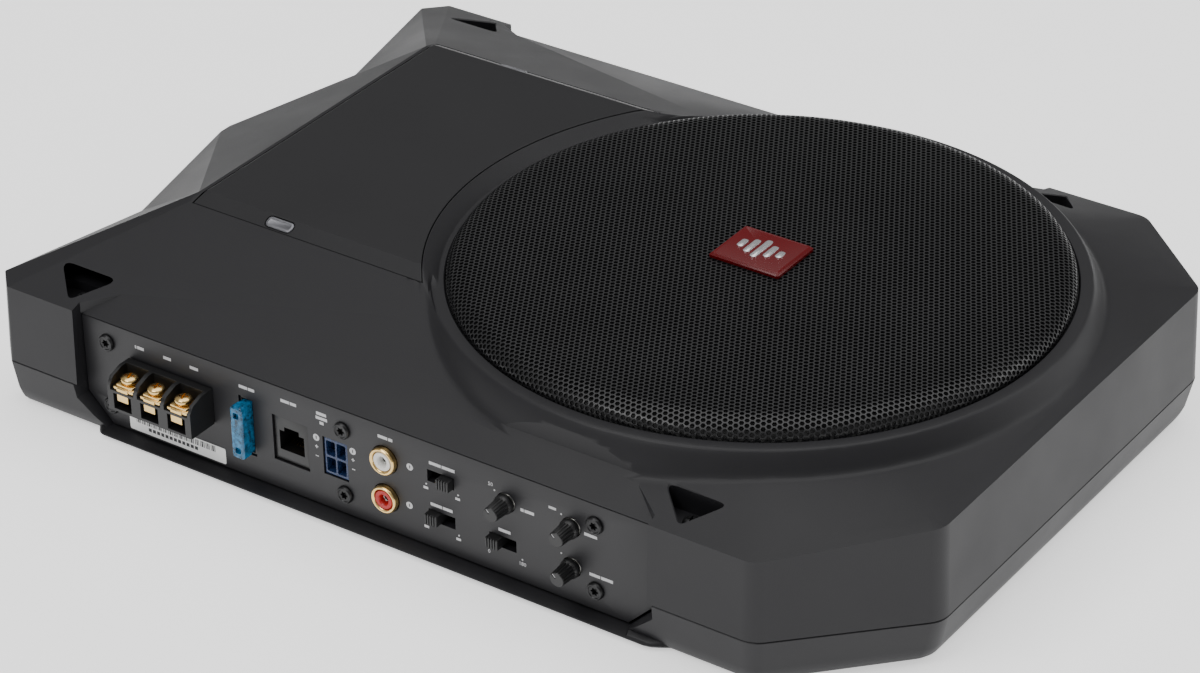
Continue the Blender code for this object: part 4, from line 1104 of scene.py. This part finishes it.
def cover_solid():
    """A flat plate with sloping front and back margins and a fine bevel on its left edge."""
    half = GROOVE_Y - GAP
    low = [p for p in cover_outline(0.0) if abs(p[1]) < PLATE_HALF_Y or abs(abs(p[1]) - half) < 1e-6]
    count = len(low)
    shoulder, crest = [], []
    for x, y in low:
        z = Z_GROOVE if abs(y) > PLATE_HALF_Y else Z_PLATE
        y_top = math.copysign(min(abs(y), PLATE_HALF_Y), y)
        x_top = x
        if x < PLATE_LEFT + 0.001:
            z = min(z, Z_PLATE - PLATE_BEVEL[1])
            x_top = x + PLATE_BEVEL[0]
        elif abs(y) > PLATE_HALF_Y:
            x_top = RING_X - math.sqrt(math.hypot(x - RING_X, y) ** 2 - PLATE_HALF_Y**2)
        shoulder.append((x, y, z))
        crest.append((x_top, y_top, Z_PLATE))
    points = [(*p, Z_POCKET + GAP) for p in low] + shoulder
    faces = [tuple(range(count))]
    faces += [(i, (i + 1) % count, count + (i + 1) % count, count + i) for i in range(count)]
    top = []
    for i, point in enumerate(crest):
        if (Vector(point) - Vector(shoulder[i])).length < 1e-6:
            top.append(count + i)
        else:
            points.append(point)
            top.append(len(points) - 1)
    faces.append(tuple(top))
    for i in range(count):
        j = (i + 1) % count
        corners = tuple(dict.fromkeys([count + i, count + j, top[j], top[i]]))
        if len(corners) > 2:
            faces.append(corners)
    return mesh_from(points, faces)


def pill_place(side):
    tilt = math.atan2(Z_PLATE - Z_GROOVE, GROOVE_Y - PLATE_HALF_Y)
    middle = (INSERT_X, side * (PLATE_HALF_Y + GROOVE_Y) / 2, (Z_PLATE + Z_GROOVE) / 2)
    return Matrix.Translation(middle) @ Matrix.Rotation(-side * tilt, 4, "X")


def pill_outline(grow):
    length, width = INSERT_SIZE[0] + 2 * grow, INSERT_SIZE[1] + 2 * grow
    corners = rectangle(-length / 2, length / 2, -width / 2, width / 2)
    return rounded(corners, width / 2 * 0.98, 8)


def amp_cover():
    seats = []
    for side in (-1, 1):
        seat = prism_mesh(pill_outline(GAP), -0.0010, 0.0020)
        seat.transform(pill_place(side))
        seats.append(seat)
    mesh = cut(beveled(cover_solid(), 0.0004, 3, 12), *seats)
    piece("amp_cover_plate", mesh, PLATE, "case", "amp_cover", smooth=24, weighted=True)
    for side, name in ((-1, "cover_insert_front"), (1, "cover_insert_back")):
        dish = soft_prism(pill_outline(-0.0009), 0.0010, 0.0000, 0.0002, 2)
        pill = cut(soft_prism(pill_outline(0.0), -0.0007, 0.0002, 0.0005, 4), dish)
        pill.transform(pill_place(side))
        piece(name + "_pill", pill, SILVER, "case", name, smooth=40)


# Grille


def grille_curve():
    """The dish's outer section from its centre to its foot, as (radius, height) points close together."""
    curve = []
    flat = GRILLE_R - SHOULDER_R
    for i in range(CROWN_STEPS):
        share = i / CROWN_STEPS
        curve.append((flat * share, Z_GRILLE - CROWN * share**2))
    for i in range(SHOULDER_STEPS + 1):
        angle = math.radians(90 * i / SHOULDER_STEPS)
        z = Z_GRILLE - CROWN - SHOULDER_DROP * (1 - math.cos(angle))
        curve.append((flat + SHOULDER_R * math.sin(angle), z))
    curve.append((GRILLE_R, Z_GRILLE_FOOT))
    return curve


class Dish:
    """Places a flat point on the pressed dish, so that lengths along its section are kept."""

    def __init__(self):
        self.curve = grille_curve()
        self.lengths = [0.0]
        for a, b in zip(self.curve, self.curve[1:]):
            self.lengths.append(self.lengths[-1] + math.hypot(b[0] - a[0], b[1] - a[1]))

    def at(self, u, v, sunk):
        """The dish's point over the flat point (u, v), sunk below its outer face."""
        run = math.hypot(u, v)
        k = bisect.bisect_right(self.lengths, run) - 1
        k = max(0, min(k, len(self.curve) - 2))
        share = (run - self.lengths[k]) / (self.lengths[k + 1] - self.lengths[k])
        (r0, z0), (r1, z1) = self.curve[k], self.curve[k + 1]
        slope = math.hypot(r1 - r0, z1 - z0)
        r = r0 + (r1 - r0) * share + (z1 - z0) / slope * sunk
        z = z0 + (z1 - z0) * share - (r1 - r0) / slope * sunk
        if run < 1e-9:
            return (RING_X, 0.0, z)
        return (RING_X + u / run * r, v / run * r, z)


def perforated_field(dish, first, last, end):
    """A closed sheet of hexagonal cells with hexagonal holes, between two radii of the flat pattern."""
    pitch, corner = GRILLE_PITCH, GRILLE_PITCH / math.sqrt(3)
    hexagon = [(math.sin(math.radians(60 * k)), math.cos(math.radians(60 * k))) for k in range(6)]
    points, faces, shared, used = [], [], {}, {}

    def outer_ids(u, v):
        key = (round(u * 1e6 / 5), round(v * 1e6 / 5))
        for near in [(key[0] + a, key[1] + b) for a in (0, -1, 1) for b in (0, -1, 1)]:
            if near in shared:
                return shared[near]
        points.append(dish.at(u, v, 0.0))
        points.append(dish.at(u, v, GRILLE_THICK))
        shared[key] = (len(points) - 2, len(points) - 1)
        return shared[key]

    rows = int(end / (pitch * math.sqrt(3) / 2)) + 2
    for row in range(-rows, rows + 1):
        v = row * pitch * math.sqrt(3) / 2
        for column in range(-rows * 2, rows * 2 + 1):
            u = (column + (row % 2) / 2) * pitch
            run = math.hypot(u, v)
            if not (first <= run < last) or run + corner > end:
                continue
            ring = [outer_ids(u + corner * a, v + corner * b) for a, b in hexagon]
            start = len(points)
            for (a, b), sunk in itertools.product(hexagon, (0.0, GRILLE_THICK)):
                points.append(dish.at(u + corner * GRILLE_HOLE * a, v + corner * GRILLE_HOLE * b, sunk))
            for k in range(6):
                j = (k + 1) % 6
                (a_top, a_low), (b_top, b_low) = ring[k], ring[j]
                c_top, d_top = start + 2 * j, start + 2 * k
                c_low, d_low = c_top + 1, d_top + 1
                faces.append((a_top, d_top, c_top, b_top))
                faces.append((a_low, b_low, c_low, d_low))
                faces.append((d_top, d_low, c_low, c_top))
                used[(a_top, b_top)] = (a_low, b_low)
    for (a_top, b_top), (a_low, b_low) in used.items():
        if (b_top, a_top) not in used:
            faces.append((a_top, b_top, b_low, a_low))
    mesh = bpy.data.meshes.new("field")
    mesh.from_pydata(points, [], faces)
    return mesh


def grille():
    dish = Dish()
    end = dish.lengths[-1] - GRILLE_MARGIN
    for number, (first, last) in enumerate(zip(GRILLE_FIELDS, GRILLE_FIELDS[1:]), 1):
        mesh = perforated_field(dish, first, last, end)
        replaced = ("grille",) if number == 1 else ()
        piece(f"grille_field_{number}", mesh, GRILLE, "case", *replaced, smooth=30)
    low, high = Z_GRILLE_FOOT, Z_GRILLE_FOOT + SKIRT_HEIGHT
    outer, inner = GRILLE_R + 0.0001, GRILLE_R - GRILLE_THICK - 0.0001
    profile = [(outer, low + 0.0002), (outer, high), (inner, high), (inner, low + 0.0002)]
    profile += [(inner + 0.0003, low), (outer - 0.0002, low)]
    skirt = lathe_mesh(profile, (RING_X, 0, 0), steps=RING_TURNS)
    piece("grille_skirt", skirt, GRILLE, "case")


# Badge


def badge():
    width, depth, thick = BADGE_SIZE
    low = Z_GRILLE + 0.0001
    rings = []
    top = low + thick
    levels = [(0.0, low), (0.0, low + 0.0009), (0.0002, low + 0.0011), (0.0008, top - 0.0001)]
    for shrink, z in [*levels, (0.0010, top), (0.0012, top), (0.0014, top - 0.0001)]:
        sharp = box_outline((RING_X, 0.0), (width, depth), shrink)
        rings.append([(*p, z) for p in rounded(sharp, BADGE_ROUND, 4)])
    piece("badge_plate", loft_mesh(rings), BADGE, "case", "badge", smooth=40)
    bars = []
    for k, length in enumerate(BAR_LENGTHS):
        x = RING_X + (k - (len(BAR_LENGTHS) - 1) / 2) * BAR_PITCH
        bar = rounded(rectangle(x - BAR_HALF, x + BAR_HALF, -length / 2, length / 2), 0.0011, 5)
        bars.append(soft_prism(bar, top - 0.0006, top + 0.0002, 0.0002, 2))
    piece("badge_bars", merged(bars), EMBLEM, "case", smooth=40)


# Connector panel


def panel_prism(outline, start, end):
    """A prism across the panel, from start to end behind its face."""
    return prism_mesh(outline, PANEL_FACE_Y + start, PANEL_FACE_Y + end, "Y")


def panel_block(outline, start, end, radius, steps):
    """The same with a rounded edge at its end."""
    return soft_prism(outline, PANEL_FACE_Y + start, PANEL_FACE_Y + end, radius, steps, "Y")


def control_panel():
    outlines = [box_outline(FUSE_AT, FUSE_SLOT), box_outline(REMOTE_AT, REMOTE_SIZE)]
    outlines.append(box_outline(HIGH_LEVEL_AT, HIGH_LEVEL_SIZE))
    outlines += [box_outline(at, SWITCH_SLOT) for at in SWITCH_AT.values()]
    outlines += [circle(POT_BUSH_R, at, 40) for at in KNOB_AT.values()]
    outlines += [circle(RCA_HOLE_R, (RCA_X, z), 48) for z in RCA_Z.values()]
    outlines += [circle(SCREW_HOLE_R, at, 24) for at in itertools.product(SCREW_X, SCREW_Z)]
    left, right, low, high = TERMINAL_BLOCK
    ledge = TERMINAL_LEDGE - GAP
    outlines.append(rectangle(left + ledge, right - ledge, low + ledge, high - ledge))
    mesh = panel_block(panel_outline(0.0), PANEL_THICK, 0.0, 0.0003, 2)
    mesh = cut(mesh, *(panel_prism(each, -PAST, PANEL_THICK + PAST) for each in outlines))
    piece("control_panel_plate", mesh, PANEL, "case", "control_panel", smooth=30)


def on_panel(outline, thick=0.00008):
    """A thin print or label on the panel's face."""
    return panel_prism(outline, 0.00002, -thick)


def word(x, z, widths, height):
    """A row of plain bars, centred, in place of a printed word."""
    left = x - (sum(widths) + WORD_SPACE * (len(widths) - 1)) / 2
    bars = []
    for width in widths:
        bars.append(on_panel(rectangle(left, left + width, z - height / 2, z + height / 2)))
        left += width + WORD_SPACE
    return bars


def disc_mark(at):
    """A printed disc with a plain bar left open in it."""
    bar = box_outline(at, (DISC_R * 0.35, DISC_R))
    return cut(on_panel(circle(DISC_R, at, 28)), panel_prism(bar, -0.001, 0.001))


def dot(x, z):
    return on_panel(circle(DOT_R, (x, z), 12))


def numeral(text, x, z):
    """A number printed on a dial."""
    curve = bpy.data.curves.new("numeral", "FONT")
    curve.body = text
    curve.size = NUMERAL_SIZE
    curve.align_x = "CENTER"
    curve.align_y = "CENTER"
    curve.extrude = 0.00004
    curve.resolution_u = 3
    made = raw(curve)
    bpy.context.view_layer.update()
    mesh = evaluated(made)
    bpy.data.objects.remove(made)
    return turned(mesh, 90, "X", (x, PANEL_FACE_Y - 0.00004, z))


def panel_prints():
    marks = []
    for row in WORDS:
        marks += word(*row)
    for x, z in SWITCH_ENDS:
        marks += word(x, z, (0.0018,), SMALL)
        marks.append(dot(x + 0.0002, z + 0.0015))
    marks += [disc_mark(at) for at in DISCS]
    marks += [dot(x, z) for x, z in DOTS]
    for x in SIGN_X:
        marks += word(x, PLUS_Z, (SIGN_LENGTH,), LINE)
        marks.append(on_panel(box_outline((x, PLUS_Z), (LINE, SIGN_LENGTH)), 0.00012))
        marks += word(x, MINUS_Z, (SIGN_LENGTH,), LINE)
    marks += [numeral(*row) for row in NUMERALS]
    piece("panel_prints", merged(marks), PRINT, "case", smooth=60)


def sticker():
    """A white paper label with plain bars."""
    left, right, low, high = STICKER_EDGES
    sheet = rounded(rectangle(left, right, low, high), 0.0008, 4)
    piece("panel_sticker", on_panel(sheet, 0.0001), STICKER, "case", smooth=60)
    outlines, x, k = [], left + 0.0030, 0
    while x < right - 0.0040:
        width = CODE_BARS[(k * 7 + k // 3) % len(CODE_BARS)]
        outlines.append(rectangle(x, x + width, high - 0.0026, high - 0.0004))
        x += width + CODE_SPACES[(k * 5) % len(CODE_SPACES)]
        k += 1
    x = left + 0.0080
    for k in range(CODE_DIGITS):
        outlines.append(rectangle(x, x + 0.0013, low + 0.0014, low + 0.0027))
        x += 0.0018
    piece("sticker_bars", merged([on_panel(each, 0.00014) for each in outlines]), INK, "case", smooth=60)


def panel_screws():
    """Low-headed screws, each with a raised rim and a six-lobed socket."""
    for number, (z, x) in enumerate(itertools.product(SCREW_Z, SCREW_X), 1):
        lobes = []
        for k in range(LOBES * LOBE_STEPS):
            reach = LOBE_R[0] + LOBE_R[1] * math.cos(math.radians(k * 360 / LOBE_STEPS))
            angle = math.radians(k * 360 / LOBES / LOBE_STEPS)
            lobes.append((x + reach * math.cos(angle), z + reach * math.sin(angle)))
        head = lathe_mesh(SCREW_HEAD, (x, PANEL_FACE_Y - GAP, z), "Y", 40)
        mesh = beveled(cut(head, panel_prism(lobes, -GAP - 0.003, -GAP + 0.0006)), 0.00010, 2, 50)
        name = f"panel_screw_{number}"
        piece(name + "_detail", mesh, SCREW, "case", name)


def terminal_block():
    """A three-pole barrier strip: fins between the poles, a clamp and a cross-head screw in each."""
    left, right, low, high = TERMINAL_BLOCK
    face, ledge = PANEL_FACE_Y - GAP, TERMINAL_LEDGE
    front, inner = face - TERMINAL_DEPTH, face + TERMINAL_TAIL
    side = [(inner, low + ledge), (face, low + ledge), (face, low), (front, low), (front, low + 0.0092)]
    side += [(front + 0.0018, low + 0.0118), (face - 0.0052, high), (face, high)]
    side += [(face, high - ledge), (inner, high - ledge)]
    floor = low + BAY_FLOOR
    cutters = [box_mesh((left - 0.001, face, low), (left + ledge, face + PAST, high))]
    cutters.append(box_mesh((right - ledge, face, low), (right + 0.001, face + PAST, high)))
    for x in TERMINAL_X:
        half, ahead = TERMINAL_HALF, front - 0.001
        cutters.append(box_mesh((x - half, ahead, floor), (x + half, face - 0.0028, high + 0.002)))
        half -= 0.0012
        cutters.append(box_mesh((x - half, ahead, low + 0.0010), (x + half, face - 0.0040, floor - 0.0010)))
    mesh = beveled(cut(prism_mesh(side, left, right, "X"), *cutters), 0.00028, 2, 40)
    piece("terminal_block_body", mesh, BLACK, "case", "terminal_block", smooth=40, weighted=True)
    for number, x in enumerate(TERMINAL_X, 1):
        terminal(number, x, floor + GAP, front, face)


def terminal(number, x, floor, front, face):
    """One pole's clamp plate, its washer and its screw."""
    half = TERMINAL_HALF - 0.0006
    plate = rounded(rectangle(x - half, x + half, front + 0.0006, face - 0.0034), 0.0006, 3)
    reach = half * 0.55
    lip = box_mesh((x - reach, front + 0.0002, floor - 0.0040), (x + reach, front + 0.0012, floor + 0.0008))
    clamp = cut(soft_prism(plate, floor, floor + 0.0010, 0.0002, 2), joined=beveled(lip, 0.0002, 2))
    wash = rounded(box_outline((x, TERMINAL_SCREW_Y), (0.0072, 0.0066)), 0.0008, 3)
    washer = soft_prism(wash, floor + 0.00105, floor + 0.0018, 0.0002, 2)
    head = [(0, 0.0019), (0.0024, 0.0019), (0.0029, 0.0022), (0.0031, 0.0028)]
    for turn in (0, 25, 50, 75):
        angle = math.radians(turn)
        head.append((0.0010 + 0.0021 * math.cos(angle), 0.0032 + 0.0011 * math.sin(angle)))
    head.append((0, 0.0043))
    at = (x, TERMINAL_SCREW_Y, floor)
    screw = crossed(lathe_mesh(head, at, "Z", 40), TERMINAL_CROSS, TERMINAL_TURNS, at)
    for name, end, mesh in (("terminal_clamp", "plate", clamp), ("terminal_screw", "head", screw)):
        piece(f"{name}_{number}_{end}", mesh, GOLD, "case", f"{name}_{number}", smooth=40)
    piece(f"terminal_washer_{number}", washer, GOLD, "case", smooth=40)


def fuse_and_holder():
    """A blade fuse in its holder."""
    x, z = FUSE_AT
    outer = rounded(box_outline(FUSE_AT, FUSE_SLOT, GAP), 0.0005, 3)
    well = panel_prism(box_outline(FUSE_AT, FUSE_WELL), -PAST, 0.0090)
    channel = panel_prism(box_outline(FUSE_AT, FUSE_CHANNEL), 0.0, 0.0140)
    holder = cut(panel_block(outer, 0.0160, 0.0004, 0.0003, 2), well, channel)
    piece("fuse_holder_body", holder, SOCKET_BLACK, "case", "fuse_holder")
    front, behind = PANEL_FACE_Y - FUSE_STANDS_OUT, PANEL_FACE_Y + 0.001
    body = rounded(box_outline(FUSE_AT, FUSE_BODY), 0.0005, 3)
    body = prism_mesh(body, PANEL_FACE_Y + 0.0060, front + 0.0030, "Y")
    head = rounded(box_outline(FUSE_AT, FUSE_HEAD), 0.0014, 4)
    head = soft_prism(head, front + 0.0036, front, 0.0007, 3, "Y")
    cutters, blades = [], []
    for side in (-1, 1):
        window = rounded(box_outline((x, z + side * 0.0066), (0.0022, 0.0022)), 0.0004, 2)
        low, high = z + side * 0.0040 - 0.0005, z + side * 0.0040 + 0.0005
        cutters.append(prism_mesh(window, front - 0.001, front + 0.0012, "Y"))
        cutters.append(box_mesh((x - PAST, front - 0.001, low), (x - 0.0021, behind, high)))
        blade = panel_prism(box_outline((x, z + side * 0.0060), FUSE_BLADE), 0.0062, 0.0125)
        blades.append(beveled(blade, 0.0002, 2))
    cutters.append(box_mesh((x - PAST, front + 0.0012, z - 0.0026), (x - 0.0019, behind, z + 0.0026)))
    mesh = cut(body, *cutters, joined=head)
    piece("fuse_body", mesh, FUSE_BLUE, "fuse", "fuse", weighted=True)
    piece("fuse_blades", merged(blades), ZINC, "fuse")


def remote_jack():
    """The modular jack for the wired remote."""
    x, z = REMOTE_AT
    wide, narrow = MOUTH_HALF
    low, middle, high = (z + level for level in MOUTH_LEVELS)
    mouth = [(x - wide, low), (x + wide, low), (x + wide, middle), (x + narrow, middle)]
    mouth += [(x + narrow, high), (x - narrow, high), (x - narrow, middle), (x - wide, middle)]
    shape = rounded(box_outline(REMOTE_AT, REMOTE_SIZE, GAP), 0.0004, 2)
    body = panel_block(shape, SOCKET_DEPTH, 0.0006, 0.0003, 2)
    body = cut(body, panel_prism(mouth, -PAST, SOCKET_DEPTH - 0.0015))
    piece("remote_jack_body", body, SOCKET_BLACK, "case", "remote_jack")
    contacts = []
    for k in range(CONTACTS):
        a = (k - (CONTACTS - 1) / 2) * CONTACT_PITCH
        wire = box_mesh((a - CONTACT_HALF, 0.0040, 0.0001), (a + CONTACT_HALF, SOCKET_DEPTH - 0.0017, 0.0005))
        contacts.append(turned(wire, 12, "X", (x, PANEL_FACE_Y, low)))
    piece("jack_contacts", merged(contacts), GOLD, "case")


def high_level_socket():
    """The four-pole connector for speaker-level input."""
    x, z = HIGH_LEVEL_AT
    cells, pins = [], []
    for a, b in itertools.product((-1, 1), (-1, 1)):
        at = (x + a * HIGH_LEVEL_PIN[0], z + b * HIGH_LEVEL_PIN[1])
        cell = rounded(box_outline(at, HIGH_LEVEL_CELL), 0.0005, 2)
        cells.append(panel_prism(cell, -PAST, SOCKET_DEPTH - 0.0016))
        pins.append(panel_block(box_outline(at, (0.0010, 0.0010)), SOCKET_DEPTH - 0.0014, 0.0040, 0.0003, 2))
    shape = rounded(box_outline(HIGH_LEVEL_AT, HIGH_LEVEL_SIZE, GAP), 0.0004, 2)
    body = cut(panel_block(shape, SOCKET_DEPTH, 0.0004, 0.0003, 2), *cells)
    piece("high_level_body", body, SMOKE, "case", "high_level_socket")
    piece("high_level_pins", merged(pins), ZINC, "case")


def rca_sockets():
    for side, z in RCA_Z.items():
        at = (RCA_X, PANEL_FACE_Y, z)
        socket, insert = f"rca_socket_{side}", f"rca_insert_{side}"
        paint = WHITE if side == "left" else RED
        piece(socket + "_ring", lathe_mesh(RCA_RING, at, "Y", 64), GOLD, "case", socket)
        piece(insert + "_core", lathe_mesh(RCA_CORE, at, "Y", 48), paint, "case", insert)
        piece(f"rca_contact_{side}", lathe_mesh(RCA_SLEEVE, at, "Y", 32), ZINC, "case")


def rib(step):
    """A knob's ribbed outline, as a share of its radius."""
    return 1.0 if step % RIB_STEPS in (0, 1) else RIB_DIP


def knobs():
    """Rotary controls: a ribbed, slightly tapered cap with a pointer groove, on a potentiometer's shaft."""
    r, length = KNOB_R, KNOB_LENGTH
    cap = [(SHAFT_R, -0.0006), (r, -0.0006), (r, -0.0016), (r * 0.96, -0.0019), (r * 0.88, -0.0024, True)]
    cap += [(r * 0.82, -0.0050, True), (r * 0.78, -length + 0.0006, True), (r * 0.74, -length + 0.0002)]
    cap += [(r * 0.68, -length), (0, -length), (0, -0.0030), (SHAFT_R, -0.0030)]
    bush = POT_BUSH_R - GAP
    pot = [(0, -0.0027), (0.0009, -0.0027), (0.0009, 0.0004), (bush - 0.0003, 0.0004), (bush, 0.0007)]
    pot += [(bush, 0.0028), (0.0048, 0.0028), (0.0048, 0.0100), (0, 0.0100)]
    groove = ((-0.0003, -length - 0.001, 0.0006), (0.0003, -length + 0.0004, 0.0040))
    line = ((-0.00022, -length + 0.0002, 0.0008), (0.00022, -length + 0.00045, r * 0.66))
    for name, (x, z) in KNOB_AT.items():
        at = (x, PANEL_FACE_Y, z)
        groove_mesh, line_mesh = (turned(box_mesh(*each), POINTER_TURN, "Y", at) for each in (groove, line))
        body = lathe_mesh(cap, at, "Y", KNOB_RIBS * RIB_STEPS, around=rib)
        knob, pot_mesh = f"{name}_knob", lathe_mesh(pot, at, "Y", 48)
        piece(knob + "_cap", cut(body, groove_mesh), BLACK, knob, knob, smooth=30)
        piece(f"{name}_pointer", line_mesh, PRINT, knob, smooth=30)
        piece(f"{name}_pot_body", pot_mesh, ZINC, "case", f"{name}_pot", slot="satin_silver")


def switches():
    """Slide switches: a grooved slider in the slot of its metal case behind the panel."""
    back = PANEL_THICK + GAP
    for name, (x, z) in SWITCH_AT.items():
        side = 1 if name == "audio_sense" else -1
        middle = x + side * SWITCH_TRAVEL / 2
        shape = rounded(box_outline((middle, z), (SLIDER_LENGTH, SWITCH_SLOT[1] - 2 * GAP)), 0.0003, 2)
        grooves = []
        for k in (-1.5, -0.5, 0.5, 1.5):
            groove = box_outline((middle + k * GROOVE_PITCH, z), (0.0004, 0.02))
            grooves.append(panel_prism(groove, -0.004, -0.0024))
        slider, body = cut(panel_block(shape, 0.0042, -0.0030, 0.00035, 3), *grooves), f"{name}_slider"
        piece(body + "_cap", slider, BLACK, body, body)
        shape = rounded(box_outline((x, z), SWITCH_CASE[:2]), 0.0005, 3)
        track = box_outline((x, z), (SWITCH_SLOT[0] + 0.0004, SWITCH_SLOT[1]))
        case = panel_block(shape, back + SWITCH_CASE[2], back, 0.0003, 2)
        case = cut(case, panel_prism(track, back - PAST, back + 0.0022))
        piece(f"{name}_switch_case", case, SOCKET_BLACK, "case", f"{name}_switch", slot="satin_silver")


def case_screws():
    """The four screws at the bottom of the corner pockets."""
    for number, corner in enumerate(sorted(CORNERS), 1):
        outline = pocket_outline(*corner)
        x, y = (sum(values) / len(outline) for values in zip(*outline))
        at = (x, y, Z_POCKET_FLOOR)
        mesh = crossed(lathe_mesh(CASE_SCREW, at, "Z", 40), CASE_SCREW_CROSS, (15, 105), at)
        piece(f"case_screw_{number}", mesh, SCREW, "case")


# Driver and amplifier


def soft_ring(name, profile, paint, inner, outer):
    """A flexible ring, turned about the driver's axis from its section; inner and outer are not used."""
    made = piece(f"{name}_ring", lathe_mesh(profile, (RING_X, 0, 0), steps=120), paint, None, name)
    start, end = (RING_X + inner, SHIFT.y, 0), (RING_X + outer, SHIFT.y, 0)
    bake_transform(made)
    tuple(start)
    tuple(end)


def surround_and_spider():
    low = Z_REST
    high = low + 0.0008
    turns = [math.radians(180 * i / 16) for i in range(1, 16)]
    roll = [(0.0882, low), (0.0928, low), (0.0928, high)]
    roll += [(ROLL_MIDDLE + ROLL_R * math.cos(a), high + ROLL_HEIGHT * ROLL_R * math.sin(a)) for a in turns]
    roll += [(0.0680, high), (0.0680, low), (0.0722, low)]
    thin = ROLL_R - 0.0009
    roll += [(ROLL_MIDDLE - thin * math.cos(a), low + ROLL_HEIGHT * thin * math.sin(a)) for a in turns]
    soft_ring("surround", roll, RUBBER, *ROLL_ENDS)
    first, last = SPIDER_ENDS
    steps = SPIDER_FOLDS * SPIDER_FOLD_STEPS
    wave = []
    for i in range(steps + 1):
        share = i / steps
        height = SPIDER_WAVE * math.sin(2 * math.pi * SPIDER_FOLDS * share)
        wave.append((first + (last - first) * share, Z_SPIDER + height))
    sheet = wave + [(r, z + SPIDER_THICK) for r, z in reversed(wave)]
    soft_ring("spider", sheet, CLOTH, first, last)


def inner_nodes():
    """Pieces inside the case, which keep their own shape, with rounded edges and their finish."""
    paints = {
        "driver_basket": STEEL, "driver_gasket": RUBBER, "cone": PAPER, "dust_cap": PAPER,
        "voice_coil": COPPER, "motor_top_plate": ZINC, "magnet": FERRITE, "motor_back_plate": ZINC,
        "power_board": BOARD, "control_board": BOARD, "heat_sink": ALUMINIUM, "filter_coil": COPPER,
        "capacitor": BLACK,
    }
    for name, paint in paints.items():
        item = NODES[name]
        item.data.materials.clear()
        item.data.materials.append(paint)
        edge = item.modifiers.new("edge", "BEVEL")
        edge.width = 0.0003
        edge.segments = 2
        edge.limit_method = "ANGLE"
        edge.angle_limit = math.radians(40)


def studio():
    """Pale floor, even sky and soft lights."""
    corners = rectangle(-FLOOR_HALF, FLOOR_HALF, -FLOOR_HALF, FLOOR_HALF)
    floor = raw(mesh_from([(x, y, FLOOR_Z) for x, y in corners], [(0, 1, 2, 3)]), "floor")
    paint = textured("pale_floor", (0.90, 0.90, 0.90), 0.9, 60.0, 0.0, 0.01)
    glow = {"Emission Color": (1.0, 1.0, 1.0, 1.0), "Emission Strength": FLOOR_GLOW}
    fill(paint.node_tree, paint.node_tree.nodes["Principled BSDF"], glow)
    floor.data.materials.append(paint)
    world = bpy.data.worlds.new("studio")
    bpy.context.scene.world = world
    world.use_nodes = True
    fill(world.node_tree, world.node_tree.nodes["Background"], {"Color": (1, 1, 1, 1), "Strength": SKY})

    def lamp(name, at, look, size, watts):
        light = bpy.data.lights.new(name, "AREA")
        light.shape = "RECTANGLE"
        light.size, light.size_y = size
        light.energy = watts
        made = raw(light, name)
        made.location = at
        made.rotation_euler = (Vector(look) - Vector(at)).to_track_quat("-Z", "Y").to_euler()

    lamp("key", (-0.3, -1.0, 1.35), (0, 0, 0.03), (0.9, 0.5), 9)
    lamp("rim", (1.1, 0.9, 0.8), (0.1, 0, 0.03), (0.5, 0.8), 5)
    lamp("top", (0.0, 0.6, 3.0), (0, 0.6, 0), (3.5, 3.5), 72)


def camera():
    """The camera that took the photo, as fitted to it."""
    azimuth, elevation, roll = (math.radians(angle) for angle in (AZIMUTH, ELEVATION, ROLL))
    level = math.cos(elevation)
    back = Vector((math.sin(azimuth) * level, -math.cos(azimuth) * level, math.sin(elevation)))
    right = (-back).cross(Vector((0, 0, 1))).normalized()
    up = right.cross(-back)
    tilted_right = right * math.cos(roll) + up * math.sin(roll)
    tilted_up = up * math.cos(roll) - right * math.sin(roll)
    data = bpy.data.cameras.new("camera")
    data.sensor_width = SENSOR_MM
    data.lens = LENS_MM
    data.clip_start = 0.05
    made = raw(data, "camera")
    turn = Matrix((tilted_right, tilted_up, back)).transposed()
    made.matrix_world = Matrix.Translation(Vector(TARGET) + SHIFT + back * DISTANCE) @ turn.to_4x4()
    bpy.context.scene.camera = made


camera()
studio()
top_housing()
bottom_shell()
feet()
case_screws()
amp_cover()
grille()
badge()
control_panel()
panel_prints()
sticker()
panel_screws()
terminal_block()
fuse_and_holder()
remote_jack()
high_level_socket()
rca_sockets()
knobs()
switches()
surround_and_spider()
inner_nodes()
bpy.context.view_layer.update()
